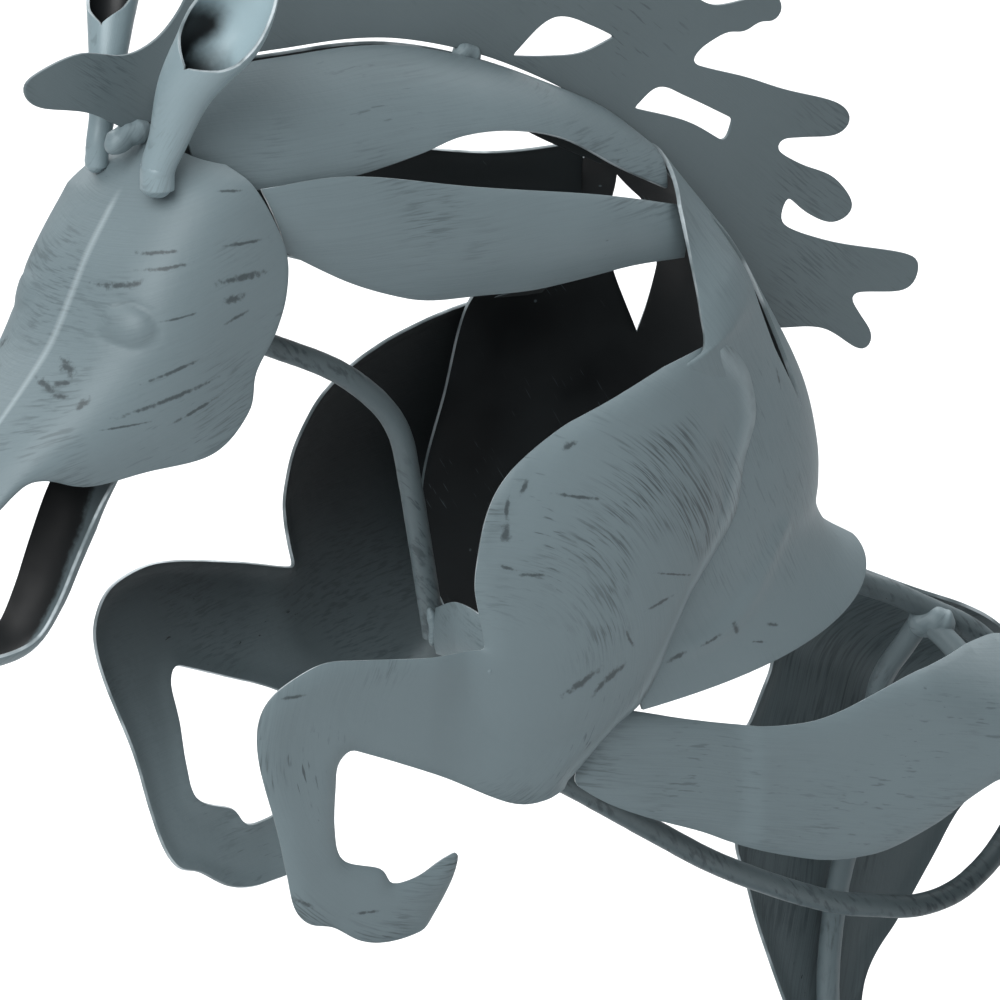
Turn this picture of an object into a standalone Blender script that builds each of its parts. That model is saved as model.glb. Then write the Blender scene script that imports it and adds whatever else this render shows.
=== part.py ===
"""Rearing horse sculpture of welded sheet steel and round rod, open between its plates, on a flat base.

The horse faces -X, its left side is towards -Y and the base rests on the floor at z = 0. The plates
and rods are drawn as the side elevation of the statue, in millimetres, and set out to a depth y.
"""

import math

import bmesh
import bpy
import numpy as np
from mathutils import Vector
from mathutils.geometry import delaunay_2d_cdt

# Driving sizes in millimetres. The form is drawn for a statue DRAWN_HEIGHT tall.
STATUE_HEIGHT = 510.0
DRAWN_HEIGHT = 510.0
SHEET = 1.2
EAR_SHEET = 1.0
ROD_DIAMETER = 7.0
CLEARANCE = 0.4
BASE_LENGTH = 280.0
BASE_WIDTH = 150.0
BASE_THICKNESS = 5.0
BASE_CORNER = 8.0
FACET = 7.5

SCALE = STATUE_HEIGHT / DRAWN_HEIGHT
MM = 0.001
ROD = ROD_DIAMETER / 2
LEFT, RIGHT = -1, 1

# Colours in linear light.
GREY_PAINT = (0.135, 0.175, 0.195, 1.0)
DARK_PAINT = (0.045, 0.06, 0.068, 1.0)

for old in list(bpy.data.objects):
    bpy.data.objects.remove(old, do_unlink=True)
statue = bpy.data.collections.new("horse_sculpture")
bpy.context.scene.collection.children.link(statue)


def paint(name, colour, roughness, metallic=0.15):
    material = bpy.data.materials.new(name)
    material.use_nodes = True
    shader = material.node_tree.nodes["Principled BSDF"]
    shader.inputs["Base Color"].default_value = colour
    shader.inputs["Roughness"].default_value = roughness
    shader.inputs["Metallic"].default_value = metallic
    return material


def add_object(name, data, colour=GREY_PAINT, roughness=0.45):
    body = bpy.data.objects.new(name, data)
    data.materials.append(paint(name + "_paint", colour, roughness))
    statue.objects.link(body)
    return body


def metres(points):
    """Drawn millimetres as metres on the statue."""
    return np.array(points, float) * SCALE * MM


def smooth(points, count):
    """Points spaced evenly along a curve that passes through the given ones."""
    knots = np.array(points, float)
    if len(knots) == 2:
        share = np.linspace(0, 1, count)[:, None]
        return knots[0] + (knots[1] - knots[0]) * share
    knots = np.vstack([2 * knots[0] - knots[1], knots, 2 * knots[-1] - knots[-2]])
    fine = []
    for a, b, c, d in zip(knots, knots[1:], knots[2:], knots[3:]):
        for t in np.linspace(0, 1, 12, endpoint=False):
            line = 2 * b + (c - a) * t
            turn = (2 * a - 5 * b + 4 * c - d) * t**2 + (3 * b - a - 3 * c + d) * t**3
            fine.append((line + turn) / 2)
    fine = np.array(fine + [knots[-2]])
    travel = np.concatenate([[0], np.cumsum(np.linalg.norm(np.diff(fine, axis=0), axis=1))])
    places = np.linspace(0, travel[-1], count)
    return np.stack([np.interp(places, travel, axis) for axis in fine.T], axis=1)


def length(points):
    return float(np.linalg.norm(np.diff(np.array(points, float), axis=0), axis=1).sum())


def closed_outline(runs, step):
    """One ring of points. Each run is a smooth curve, and it meets the next run at a corner."""
    ring = []
    for run, after in zip(runs, runs[1:] + runs[:1]):
        knots = list(run) + [after[0]]
        count = max(2, math.ceil(length(knots) / step) + 1)
        ring.extend(smooth(knots, count)[:-1])
    return np.array(ring)


def is_inside(points, ring):
    """Which of the points lie inside the ring."""
    inside = np.zeros(len(points), bool)
    x, z = points[:, 0], points[:, 1]
    for (x1, z1), (x2, z2) in zip(ring, np.roll(ring, -1, axis=0)):
        crosses = (z1 > z) != (z2 > z)
        if crosses.any():
            reach = x1 + (z[crosses] - z1) * (x2 - x1) / (z2 - z1)
            inside[crosses] ^= x[crosses] < reach
    return inside


def shell(name, points, faces, thickness=SHEET, colour=GREY_PAINT):
    """A sheet of even thickness, centred on the surface given in drawn millimetres."""
    mesh = bpy.data.meshes.new(name)
    mesh.from_pydata([Vector(p) for p in metres(points)], [], faces)
    work = bmesh.new()
    work.from_mesh(mesh)
    bmesh.ops.remove_doubles(work, verts=work.verts, dist=0.02 * MM)
    bmesh.ops.recalc_face_normals(work, faces=work.faces)
    work.to_mesh(mesh)
    work.free()
    mesh.shade_smooth()
    body = add_object(name, mesh, colour)
    thicken = body.modifiers.new("thickness", "SOLIDIFY")
    thicken.thickness = thickness * MM
    thicken.offset = 0
    return body


def grid_faces(rows, columns, first=0):
    """Quads of a grid of rows x columns points, numbered row by row."""
    return [
        (first + r * columns + c, first + r * columns + c + 1,
         first + (r + 1) * columns + c + 1, first + (r + 1) * columns + c)
        for r in range(rows - 1)
        for c in range(columns - 1)
    ]


def mirrored(points, side):
    """Points drawn on the left side, turned over to the right where that is asked for."""
    turned = np.array(points, float)
    if side == RIGHT:
        turned[..., 1] *= -1
    return turned


def lofted_strip(name, first_edge, second_edge, rise, side=LEFT, rows=13, columns=5, towards=(0, -1, 0)):
    """A strip of sheet between two edges, crowned by rise along the direction towards."""
    edge_a, edge_b = smooth(first_edge, rows), smooth(second_edge, rows)
    rises = np.interp(np.linspace(0, 1, rows), np.linspace(0, 1, len(rise)), rise)
    along = np.gradient((edge_a + edge_b) / 2, axis=0)
    points = []
    for a, b, way, height in zip(edge_a, edge_b, along, rises):
        out = np.cross(b - a, way)
        out /= np.linalg.norm(out)
        if out @ np.array(towards, float) < 0:
            out = -out
        for share in np.linspace(0, 1, columns):
            points.append(a + (b - a) * share + out * height * 4 * share * (1 - share))
    return shell(name, mirrored(points, side), grid_faces(rows, columns))


def pressed_plate(name, runs, depth, side=LEFT, step=5.5):
    """A plate cut to an outline in the side elevation and pressed to the depth y = depth(x, z)."""
    ring = closed_outline(runs, step)
    low, high = ring.min(axis=0), ring.max(axis=0)
    spots = [
        (x + (row % 2) * FACET * 0.9, z)
        for row, z in enumerate(np.arange(low[1], high[1], FACET * 1.6))
        for x in np.arange(low[0], high[0], FACET * 1.8)
    ]
    spots = np.array(spots)
    spots = spots[is_inside(spots, ring)]
    away = np.linalg.norm(spots[:, None] - ring[None], axis=2).min(axis=1)
    spots = spots[away > FACET * 0.7]
    flat = np.vstack([ring, spots])
    rim = [(i, (i + 1) % len(ring)) for i in range(len(ring))]
    made = delaunay_2d_cdt([Vector(p) for p in flat], rim, [], 1, 1e-5)
    x_z, faces = np.array([tuple(v) for v in made[0]]), made[2]
    points = np.stack([x_z[:, 0], depth(x_z[:, 0], x_z[:, 1]), x_z[:, 1]], axis=1)
    return shell(name, mirrored(points, side), [tuple(face) for face in faces])


def flat_plate(name, rings, thickness=SHEET):
    """A flat plate in the plane y = 0, with an outer ring and any slots cut through it."""
    curve = bpy.data.curves.new(name, "CURVE")
    curve.dimensions = "2D"
    curve.fill_mode = "BOTH"
    curve.extrude = thickness / 2 * MM
    for ring in rings:
        spline = curve.splines.new("POLY")
        spline.points.add(len(ring) - 1)
        for point, (x, z) in zip(spline.points, metres(ring)):
            point.co = (x, z, 0, 1)
        spline.use_cyclic_u = True
    body = add_object(name, curve)
    body.rotation_euler.x = math.pi / 2
    return body


def rod(name, route, count, radius=ROD, colour=DARK_PAINT):
    """A round rod bent along a smooth route."""
    curve = bpy.data.curves.new(name, "CURVE")
    curve.dimensions = "3D"
    curve.bevel_depth = radius * MM
    curve.bevel_resolution = 2
    curve.use_fill_caps = True
    spline = curve.splines.new("POLY")
    spline.points.add(count - 1)
    for point, place in zip(spline.points, metres(smooth(route, count))):
        point.co = (*place, 1)
    return add_object(name, curve, colour, 0.4)


# Base plate

def base_plate():
    bpy.ops.mesh.primitive_cube_add(size=1, location=(0, 0, BASE_THICKNESS / 2 * MM))
    body = bpy.context.object
    body.name = body.data.name = "base_plate"
    body.scale = (BASE_LENGTH * MM, BASE_WIDTH * MM, BASE_THICKNESS * MM)
    bpy.ops.object.transform_apply(location=False, rotation=False, scale=True)
    corners = [edge for edge in body.data.edges if is_upright(body.data, edge)]
    weights = body.data.attributes.new("bevel_weight_edge", "FLOAT", "EDGE")
    for edge in corners:
        weights.data[edge.index].value = 1.0
    rounding = body.modifiers.new("rounded_corners", "BEVEL")
    rounding.limit_method = "WEIGHT"
    rounding.width = BASE_CORNER * MM
    rounding.segments = 4
    body.data.materials.append(paint("base_plate_paint", GREY_PAINT, 0.5))
    for holder in list(body.users_collection):
        holder.objects.unlink(body)
    statue.objects.link(body)


def is_upright(mesh, edge):
    a, b = (mesh.vertices[i].co for i in edge.vertices)
    return abs(a.z - b.z) > 1e-5


# Head, jaw and ears

NOSE_CREASE = [
    (-221, 0, 439), (-228, 0, 428), (-236, 0, 416), (-243, 0, 405), (-249, 0, 393), (-256, 0, 380),
    (-265, 0, 369), (-278, 0, 355), (-290, 0, 343), (-299, 0, 334), (-303, 0, 326),
]
CHEEK_FOLD = [
    (-213, -15, 438), (-221, -24, 427), (-231, -28, 414), (-239, -30, 402), (-245, -30, 389),
    (-252, -28, 377), (-261, -24, 365), (-273, -19, 353), (-285, -15, 342), (-295, -14, 332), (-300, -11, 325),
]
CHEEK_EDGE = [
    (-208, -17, 437), (-201, -26, 424), (-193, -29, 406), (-193, -30, 393), (-197, -30, 381),
    (-204, -30, 370), (-206, -29, 358), (-218, -28, 347), (-239, -24, 344), (-256, -18, 341),
    (-272, -15, 345), (-285, -15, 338), (-292, -14, 330), (-296, -10, 322),
]
EYE_CENTRE = (-244.5, -29.5, 389)
EYE_NORMAL = (-0.62, -0.72, 0.3)
EYE_RADII = (5.6, 4.8, 1.6)


def head():
    """One sheet folded along the nose, with a cheek pressed out on each side."""
    rows = 15
    crease, fold, edge = (smooth(line, rows) for line in (NOSE_CREASE, CHEEK_FOLD, CHEEK_EDGE))
    points = []
    for c, f, e in zip(crease, fold, edge):
        brow = (c + f) / 2 + np.array([-1.2, -0.6, 0.6])
        cheek = [f + (e - f) * share + np.array([0, -3.2, 0]) * 4 * share * (1 - share) * min(1, abs(f[1]) / 24)
                 for share in (0.25, 0.5, 0.75)]
        half = [e, cheek[2], cheek[1], cheek[0], f, brow]
        points.extend(half + [c] + [p * (1, -1, 1) for p in reversed(half)])
    shell("head", points, grid_faces(rows, 13))
    eyes = []
    for side in (LEFT, RIGHT):
        bpy.ops.mesh.primitive_uv_sphere_add(segments=12, ring_count=8)
        eye = bpy.context.object
        eye.name = "eye_form"
        eye.location = metres(EYE_CENTRE) * (1, -side, 1)
        eye.rotation_euler = (Vector(EYE_NORMAL) * Vector((1, -side, 1))).to_track_quat("Z", "Y").to_euler()
        eye.scale = np.array(EYE_RADII) * SCALE * MM
        eyes.append(eye)
    return eyes


JAW_EDGE = [(-241, -14, 343), (-249, -13.5, 331), (-256, -12.5, 317), (-262, -11.5, 304), (-269, -10, 294),
            (-280, -7, 290), (-290, -3, 290)]
JAW_DEPTHS = (7, 9, 8, 6, 3)


def lower_jaw():
    """A channel of sheet that hangs open below the muzzle, hollow towards the front."""
    other = [(x, -y, z) for x, y, z in JAW_EDGE]
    lofted_strip("lower_jaw", JAW_EDGE, other, JAW_DEPTHS, rows=9, columns=7, towards=(1, 0, -1))


EAR_AXIS = [(-229.5, -16.5, 434), (-227, -18.5, 442), (-223, -22, 458), (-216.5, -30, 474.5), (-210.5, -36, 489),
            (-204, -40, 506)]
EAR_BACK = (0.85, 0.52, -0.2)
EAR_FULLNESS = {LEFT: 1.0, RIGHT: 0.7}
EAR_SHARES = (0, 0.11, 0.23, 0.35, 0.42, 0.48, 0.54, 0.62, 0.7, 0.78, 1)
EAR_RADII = (4.2, 5.4, 6.9, 8.7, 9.6, 10.4, 11.4, 11.8, 10.8, 9, 1.4)
EAR_SPAN_DEGREES = (180, 180, 180, 180, 180, 118, 104, 95, 88, 80, 60)


def ear(name, side):
    """A funnel rolled from sheet and turned to the front left, where it is cut away up to a point."""
    rows, columns = 17, 9
    axis = mirrored(smooth(EAR_AXIS, rows), side)
    share = np.linspace(0, 1, rows)
    radii = np.interp(share, EAR_SHARES, EAR_RADII)
    radii *= 1 + (EAR_FULLNESS[side] - 1) * np.clip(share / 0.2, 0, 1)
    spans = np.radians(np.interp(share, EAR_SHARES, EAR_SPAN_DEGREES))
    points = []
    for centre, way, radius, span in zip(axis, np.gradient(axis, axis=0), radii, spans):
        way = way / np.linalg.norm(way)
        back = np.array(EAR_BACK)
        back -= way * (back @ way)
        back /= np.linalg.norm(back)
        across = np.cross(way, back)
        for angle in np.linspace(-span, span, columns):
            points.append(centre + radius * (back * math.cos(angle) + across * math.sin(angle)))
    shell(name, points, grid_faces(rows, columns), thickness=EAR_SHEET)


# Mane and tail

SPINE = [(-41, 407), (-24, 384), (-10, 363), (3, 342), (10, 327), (14, 311), (14.5, 301), (14, 292), (20.5, 282), (33, 274)]
NECK_CREST = [(-213, 452), (-194, 455), (-171, 455), (-147, 454), (-126, 450), (-100, 441), (-72, 428), (-58, 420), (-46, 410)]

MANE_RUNS = [
    # Forelock, round the front
    [(-219, 446), (-228, 444), (-243, 450), (-261, 453), (-266, 459), (-262, 463), (-246, 467), (-230, 464),
     (-219, 467), (-211, 474), (-206, 482), (-200, 492)],
    # Locks along the top, front to back
    [(-192, 497), (-176, 499), (-160, 505), (-153, 509), (-150, 506), (-156, 500)],
    [(-160, 495), (-146, 493), (-130, 495), (-114, 501), (-104, 506), (-100, 503), (-105, 496)],
    [(-110, 489), (-100, 484), (-88, 484), (-72, 491), (-60, 495), (-56, 491), (-62, 485), (-76, 477)],
    [(-84, 470), (-76, 468), (-60, 472), (-44, 476), (-36, 474), (-37, 469), (-48, 463), (-56, 459)],
    [(-50, 455), (-38, 455), (-27, 451), (-18, 446), (-6, 446), (4, 446), (7, 441), (0, 436), (-12, 434)],
    [(-22, 434), (-26, 430), (-20, 427), (-6, 422), (8, 416), (27, 409), (32, 403), (27, 399), (16, 400)],
    [(7, 401), (5, 398), (14, 392), (26, 386), (33, 376), (26, 372), (17, 376)],
    [(9, 383), (7, 379), (8, 374), (26, 366), (53, 358), (57, 353), (52, 347), (33, 349)],
    [(35, 343), (40, 335), (36, 331), (22, 340)],
]
MANE_SLOTS = [
    [[(-91, 442), (-80, 450), (-72, 451), (-61, 446)], [(-54, 442), (-66, 439), (-79, 440)]],
    [[(-47, 419), (-38, 424), (-27, 419)], [(-11, 410), (-13, 405)], [(-15, 404), (-28, 412)]],
]


MANE_LIFT = (1.1, 1.1, 1.1, 1.1, 1.1, 0.9, 0.5, 0, 0)


def edge_above(line, distance):
    """The line moved up and back by a distance, or one for each point, square to itself."""
    points = np.array(line, float)
    way = np.gradient(points, axis=0)
    way /= np.linalg.norm(way, axis=1)[:, None]
    return points + np.stack([-way[:, 1], way[:, 0]], axis=1) * np.reshape(distance, (-1, 1))


def mane():
    """One flat plate from the forelock to the back, cut into locks, with two slots through it."""
    seat = SHEET / 2 + CLEARANCE
    on_back = edge_above(SPINE[:4], seat + SHEET / 2)
    on_neck = edge_above(NECK_CREST, seat + np.array(MANE_LIFT))
    foot = [tuple(p) for p in on_back[::-1]] + [tuple(p) for p in on_neck[::-1]]
    outer = closed_outline(MANE_RUNS + [foot], 6.5)
    flat_plate("mane", [outer] + [closed_outline(slot, 5.5) for slot in MANE_SLOTS])


TAIL_RUNS = [
    [(114, 204), (114, 213), (118, 221), (127, 226), (140, 224), (156, 214), (172, 206), (190, 205), (197, 201),
     (193, 196), (180, 194)],
    [(170, 194), (178, 186), (190, 178), (198, 165), (196, 160), (190, 163), (178, 172)],
    [(166, 178), (174, 164), (186, 150), (190, 136), (186, 131), (180, 137), (170, 150)],
    [(160, 162), (164, 146), (166, 130), (160, 126), (154, 134), (150, 150), (142, 168), (133, 184), (124, 197)],
]


def tail():
    """A flat plate cut into locks, in keeping with the mane."""
    flat_plate("tail", [closed_outline(TAIL_RUNS, 5.0)])


# Neck

CREST_Y = SHEET / 2 + CLEARANCE + SHEET
CREST_FOOT = [(-206, -14, 425), (-196, -19, 422), (-184, -22, 422), (-165, -24, 422), (-141, -24, 425),
              (-126, -24, 428), (-108, -24, 427), (-88, -23, 421), (-66, -20, 408), (-47, -17, 398)]
CREST_RISE = (3, 4, 4, 3)
NECK_SIDE_TOP = [(-198, -24, 423.5), (-168, -28, 423.5), (-125, -31, 414), (-80, -29, 404)]
NECK_SIDE_TOP_END = {LEFT: (-47, -22, 394), RIGHT: (-49, -22, 404)}
NECK_SIDE_FOOT = [(-187, -21, 402), (-166, -22, 390), (-149, -23, 383), (-137, -24, 380), (-120, -25, 379),
                  (-102, -26, 378), (-84, -27, 379), (-66, -27, 380), (-47, -26, 379)]
NECK_SIDE_RISE = (3, 5, 6, 5, 2)


def neck():
    for side, name in ((LEFT, "left"), (RIGHT, "right")):
        crest = [(x, -CREST_Y, z) for x, z in NECK_CREST]
        lofted_strip(name + "_neck_crest", crest, CREST_FOOT, CREST_RISE, side)
        top = NECK_SIDE_TOP + [NECK_SIDE_TOP_END[side]]
        lofted_strip(name + "_neck_side", top, NECK_SIDE_FOOT, NECK_SIDE_RISE, side)


# Body

RIB_FRONT = [(-50, -28, 396), (-50, -34, 380), (-53, -42, 362), (-68, -45, 354), (-78, -47, 335), (-86, -48, 303),
             (-85, -47, 274), (-76, -46, 249)]
RIB_LOBE = 8.0
DART_ANGLES = {LEFT: (40, 30), RIGHT: (43, 46)}
DART_ROWS = {LEFT: 9, RIGHT: 7}
DART_WIDTH = 10.5


def rib_cage():
    """One sheet bent over the back. A dart on each side opens a slit between the flank and the saddle."""
    rows = 17
    spine = np.insert(smooth(SPINE, rows), 1, 0, axis=1)
    front = smooth(RIB_FRONT, rows)
    share = np.linspace(0, 1, rows)
    low_share = np.clip((share - 0.6) / 0.4, 0, 1) ** 2
    points, faces = [], []

    def block(start, stop, columns, side):
        first = len(points)
        for back, edge, low, a, b in zip(spine, front, low_share, start, stop):
            for angle in np.radians(np.linspace(a, b, columns)):
                place = back + (edge - back) * (1 - math.cos(angle))
                place[1] = side * abs(edge[1]) * math.sin(angle)
                place[2] -= RIB_LOBE * low * math.sin(2 * angle)
                points.append(place)
        faces.extend(grid_faces(rows, columns, first))

    for side in (LEFT, RIGHT):
        last = DART_ROWS[side]
        open_share = np.zeros(rows)
        open_share[2:last + 1] = np.sin(np.pi * (np.arange(1, last) / last) ** 1.3)
        dart_angle = np.interp(share, (0, (last + 1) / (rows - 1), 1), (*DART_ANGLES[side], 50))
        half = np.degrees(DART_WIDTH / 2 * open_share / 45)
        block(np.zeros(rows), dart_angle - half, 4, side)
        block(dart_angle + half, np.full(rows, 90.0), 4, side)
    shell("rib_cage", points, faces)


# Shoulders and forelegs

SHOULDER_CENTRE = (-100, 300)
SHOULDER_Y = -56.0
SHOULDER_RADII = (190, 490)
FORELEG_RUNS = [
    # Front of the shoulder, top to bottom
    [(-52, 358), (-72, 355), (-91, 349), (-108, 342), (-121, 335), (-129, 328), (-135, 318), (-138, 307),
     (-139, 298), (-137, 287)],
    # Forearm, knee, cannon and the front of the hoof
    [(-135, 278), (-156, 279), (-180, 282), (-192, 283), (-203, 279), (-210, 274), (-213, 266), (-211, 253),
     (-203, 232), (-198, 217), (-194, 205), (-188, 199), (-180, 197), (-170, 191), (-159, 189)],
    [(-145, 189), (-139, 198)],
    [(-135, 209), (-151, 207), (-161, 207), (-165, 213), (-179, 218), (-183, 229), (-184, 242), (-184, 250)],
    # Back of the forearm up the rear of the shoulder
    [(-180, 254), (-163, 247), (-145, 239), (-123, 228), (-111, 227), (-103, 230), (-94, 240), (-83, 262),
     (-76, 270), (-63, 285), (-56, 296), (-46, 308), (-42, 321), (-35, 332), (-37, 347), (-45, 355)],
]


def foreleg_depth(x, z):
    """A dished shoulder that runs into a leg leaning inwards to its hoof."""
    centre_x, centre_z = SHOULDER_CENTRE
    shoulder = SHOULDER_Y + (x - centre_x) ** 2 / (2 * SHOULDER_RADII[0]) + (z - centre_z) ** 2 / (2 * SHOULDER_RADII[1])
    leg = -(45 + 0.06 * (x + 214) + 0.16 * (z - 263))
    blend = np.clip((x + 155) / 25, 0, 1)
    blend = blend * blend * (3 - 2 * blend)
    return leg + (shoulder - leg) * blend


def forelegs():
    pressed_plate("left_shoulder_and_foreleg", FORELEG_RUNS, foreleg_depth, LEFT)
    pressed_plate("right_shoulder_and_foreleg", FORELEG_RUNS, foreleg_depth, RIGHT)


# Haunches and hind legs

RUMP_LINE = [(-120, 300), (0, 272), (38, 265), (60, 253), (79, 244), (92, 235), (118, 216), (165, 160)]
HAUNCH_REACH = 35.0
HAUNCH_ROUNDING = 2.2
HAUNCH_WIDTHS = ((0, 60, 114, 160, 205, 300), (37, 38, 40, 45, 48, 48))
LEFT_HAUNCH_RUNS = [
    # Top of the flank and over the rump
    [(-92, 252), (-74, 247), (-57, 242), (-36, 237), (-18, 235), (-6, 236), (10, 240), (26, 243), (41, 243.5),
     (59, 242.5), (78, 239), (94, 230), (110, 216)],
    # Buttock down to the point of the hock
    [(113, 212), (123, 200), (128, 187), (125, 172), (116, 155), (105, 138), (97, 122), (94, 108), (97, 96),
     (101, 88)],
    [(101, 85), (95, 74), (91, 60), (89, 45), (88, 34), (90, 28), (89, 21), (93, 13)],
    # Sole, then up the front of the leg
    [(96, 5.6)],
    [(62, 5.6), (67, 13), (75, 22), (76, 30), (76, 40), (78, 55), (80, 70), (79, 82), (76, 92), (72, 105),
     (69, 119), (65, 141), (61, 162), (59, 180), (61, 195), (60, 204)],
    [(54, 206), (44, 202), (32, 196), (16, 191), (6, 190), (-8, 191), (-23, 195), (-40, 201), (-53, 207),
     (-71, 214), (-86, 221)],
    [(-98, 229)],
]
RIGHT_HAUNCH_RUNS = [
    [(-92, 246), (-78, 240), (-50, 228), (-20, 211), (8, 205), (20, 203)],
    [(28, 204), (33, 214), (37, 224), (36, 240), (34, 256)],
    [(38, 262), (60, 251.5), (79, 243), (92, 234), (112, 216)],
    [(116, 212), (126, 200), (128, 188), (120, 176), (105, 167), (95, 155), (85, 143), (78, 135), (71, 128),
     (66, 120), (64, 110), (66, 98), (71, 88)],
    [(71, 85), (66, 74), (62, 60), (60, 45), (59, 34), (61, 28), (60, 21), (64, 13)],
    [(67, 5.6)],
    [(33, 5.6), (38, 13), (46, 22), (47, 30), (47, 40), (49, 55), (51, 70), (50, 82), (46, 93), (41, 105),
     (36, 119), (32, 131), (28, 144), (25, 157), (22, 167)],
    [(22, 172), (10, 177), (-8, 184), (-28, 194), (-50, 203), (-72, 211), (-86, 216)],
    [(-96, 223)],
]


def distance_below(line, x, z):
    """How far points lie from a line drawn along the top, square to it."""
    points = np.stack([x, z], axis=1)
    nearest = np.full(len(points), np.inf)
    for a, b in zip(np.array(line[:-1], float), np.array(line[1:], float)):
        share = np.clip(((points - a) @ (b - a)) / ((b - a) @ (b - a)), 0, 1)
        nearest = np.minimum(nearest, np.linalg.norm(points - a - share[:, None] * (b - a), axis=1))
    return nearest


def haunch_depth(x, z):
    """Round over the rump, full at the thigh and leaning inwards down the leg."""
    width = np.interp(z, *HAUNCH_WIDTHS)
    width = np.minimum(width, np.interp(x, (-100, -40, 0), (43.5, 45.5, 60)))
    reach = np.clip(distance_below(RUMP_LINE, x, z) / HAUNCH_REACH, 0, 1)
    least = SHEET + 1.5 * CLEARANCE
    return -least - (width - least) * (1 - (1 - reach) ** HAUNCH_ROUNDING)


def haunches():
    pressed_plate("left_haunch_and_hind_leg", LEFT_HAUNCH_RUNS, haunch_depth, LEFT)
    pressed_plate("right_haunch_and_hind_leg", RIGHT_HAUNCH_RUNS, haunch_depth, RIGHT)


# Rods and the tab that ties the chest

CHEST_ROD = [(-222, 0, 384), (-200, 0, 377), (-178, 0, 367), (-159, 0, 358), (-148, 0, 351), (-137, 0, 341),
             (-131, 0, 331), (-128, 0, 318), (-125, 0, 302), (-122, 0, 285), (-119, 0, 268)]
BELLY_ROD = [(-113, 0, 256), (-103, 0, 240), (-86, 0, 224), (-64, 0, 210), (-39, 0, 194), (-18, 0, 181),
             (4, 0, 170), (26, 0, 161), (42, 0, 157), (57, 0, 154.5), (70, 0, 156), (80, 0, 161), (89, 0, 169),
             (98, 0, 182), (103, 0, 197), (104, 0, 208)]
SPINE_ROD = [(-3, 0, 306), (2, 0, 290), (14, 0, 273), (33, 0, 260.5), (47, 0, 254), (60, 0, 247), (76, 0, 238),
             (90, 0, 226)]
RIGHT_LEG_ROD = [(57, 6, 239), (61, 13, 228), (66, 28, 206), (62, 36, 178), (55, 38, 150), (50, 35.5, 118),
                 (55, 34, 90), (56, 33, 60), (53, 32.5, 30), (51, 32, 8)]
LEFT_LEG_ROD = [(64, -7, 237), (72, -20, 222), (84, -35, 195), (88, -39, 168), (84, -38, 142), (81, -35, 114),
                (88, -34, 88), (85, -33, 60), (82, -32.5, 30), (80, -32, 8)]


def rods():
    rod("chest_rod", CHEST_ROD, 17)
    rod("belly_rod", BELLY_ROD, 22)
    rod("spine_rod", SPINE_ROD, 12)
    rod("right_leg_rod", RIGHT_LEG_ROD, 14)
    rod("left_leg_rod", LEFT_LEG_ROD, 14)


TAB_TOP = [(-125, -20, 284), (-130, -38, 286), (-132, -50, 284)]
TAB_FOOT = [(-125, -20, 266), (-131, -38, 268), (-134, -49.5, 270)]
TAB_ON_ROD = (-121, 278, 264)
TAB_RISE = (1, 2, 1)


def chest_tab():
    """A short bent strap from the foot of the chest rod to the left shoulder."""
    inner = ROD + SHEET / 2 + CLEARANCE
    x, high, low = TAB_ON_ROD
    top, foot = [(x, -inner, high)] + TAB_TOP, [(x, -inner, low)] + TAB_FOOT
    lofted_strip("chest_tab", top, foot, TAB_RISE, rows=6, columns=3, towards=(-1, 0, 0))


def main():
    base_plate()
    eyes = head()
    lower_jaw()
    ear("left_ear", LEFT)
    ear("right_ear", RIGHT)
    mane()
    neck()
    rib_cage()
    forelegs()
    haunches()
    tail()
    rods()
    chest_tab()
    raise_eyes(eyes)


def raise_eyes(eyes):
    """The eyes become part of the head's sheet."""
    holder = bpy.data.collections.new("eye_forms")
    bpy.context.scene.collection.children.link(holder)
    holder.hide_render = True
    for eye in eyes:
        for user in list(eye.users_collection):
            user.objects.unlink(eye)
        holder.objects.link(eye)
        eye.hide_render = True
        eye.display_type = "WIRE"
        join = statue.objects["head"].modifiers.new("eye", "BOOLEAN")
        join.operation = "UNION"
        join.solver = "EXACT"
        join.object = eye


main()
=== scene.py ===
"""Looks of the leaping horse sculpture: fine sheets, rods, weld beads and dry-brushed paint.

Lengths are millimetres in the statue's own frame, as its plates and rods were drawn, until they become
meshes in metres. The horse faces -X and its left side is towards -Y.
"""

import math

import bmesh
import bpy
import numpy as np
from mathutils import Matrix, Vector
from mathutils.geometry import delaunay_2d_cdt


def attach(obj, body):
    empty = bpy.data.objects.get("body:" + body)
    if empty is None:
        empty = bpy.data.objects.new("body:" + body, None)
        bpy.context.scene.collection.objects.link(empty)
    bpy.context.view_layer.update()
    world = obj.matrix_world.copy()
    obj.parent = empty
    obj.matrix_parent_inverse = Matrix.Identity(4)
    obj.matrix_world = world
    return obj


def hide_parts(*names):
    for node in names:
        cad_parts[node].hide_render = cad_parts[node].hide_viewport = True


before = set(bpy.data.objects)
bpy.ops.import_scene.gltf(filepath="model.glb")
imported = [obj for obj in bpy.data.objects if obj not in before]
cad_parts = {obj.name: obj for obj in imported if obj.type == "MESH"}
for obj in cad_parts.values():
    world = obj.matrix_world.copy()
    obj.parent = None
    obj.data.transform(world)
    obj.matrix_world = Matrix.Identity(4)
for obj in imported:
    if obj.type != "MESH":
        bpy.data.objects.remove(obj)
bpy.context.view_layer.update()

MM = 0.001
SHEET = 1.2
EAR_SHEET = 1.0
PLATE_ROUNDING = 0.25
ROD = 3.5
CLEARANCE = 0.4
# How far apart the points inside a pressed plate are.
PLATE_GRAIN = 2.4
LEFT, RIGHT = -1, 1

# Camera: 35 degrees to the front of the left side and 16 above, with a long lens.
CAMERA_AZIMUTH = math.radians(-35)
CAMERA_ELEVATION = math.radians(16)
CAMERA_DISTANCE = 12.0
PICTURE_WIDTH = 0.3
PICTURE_CENTRE = (-0.078, 0.279)

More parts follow.
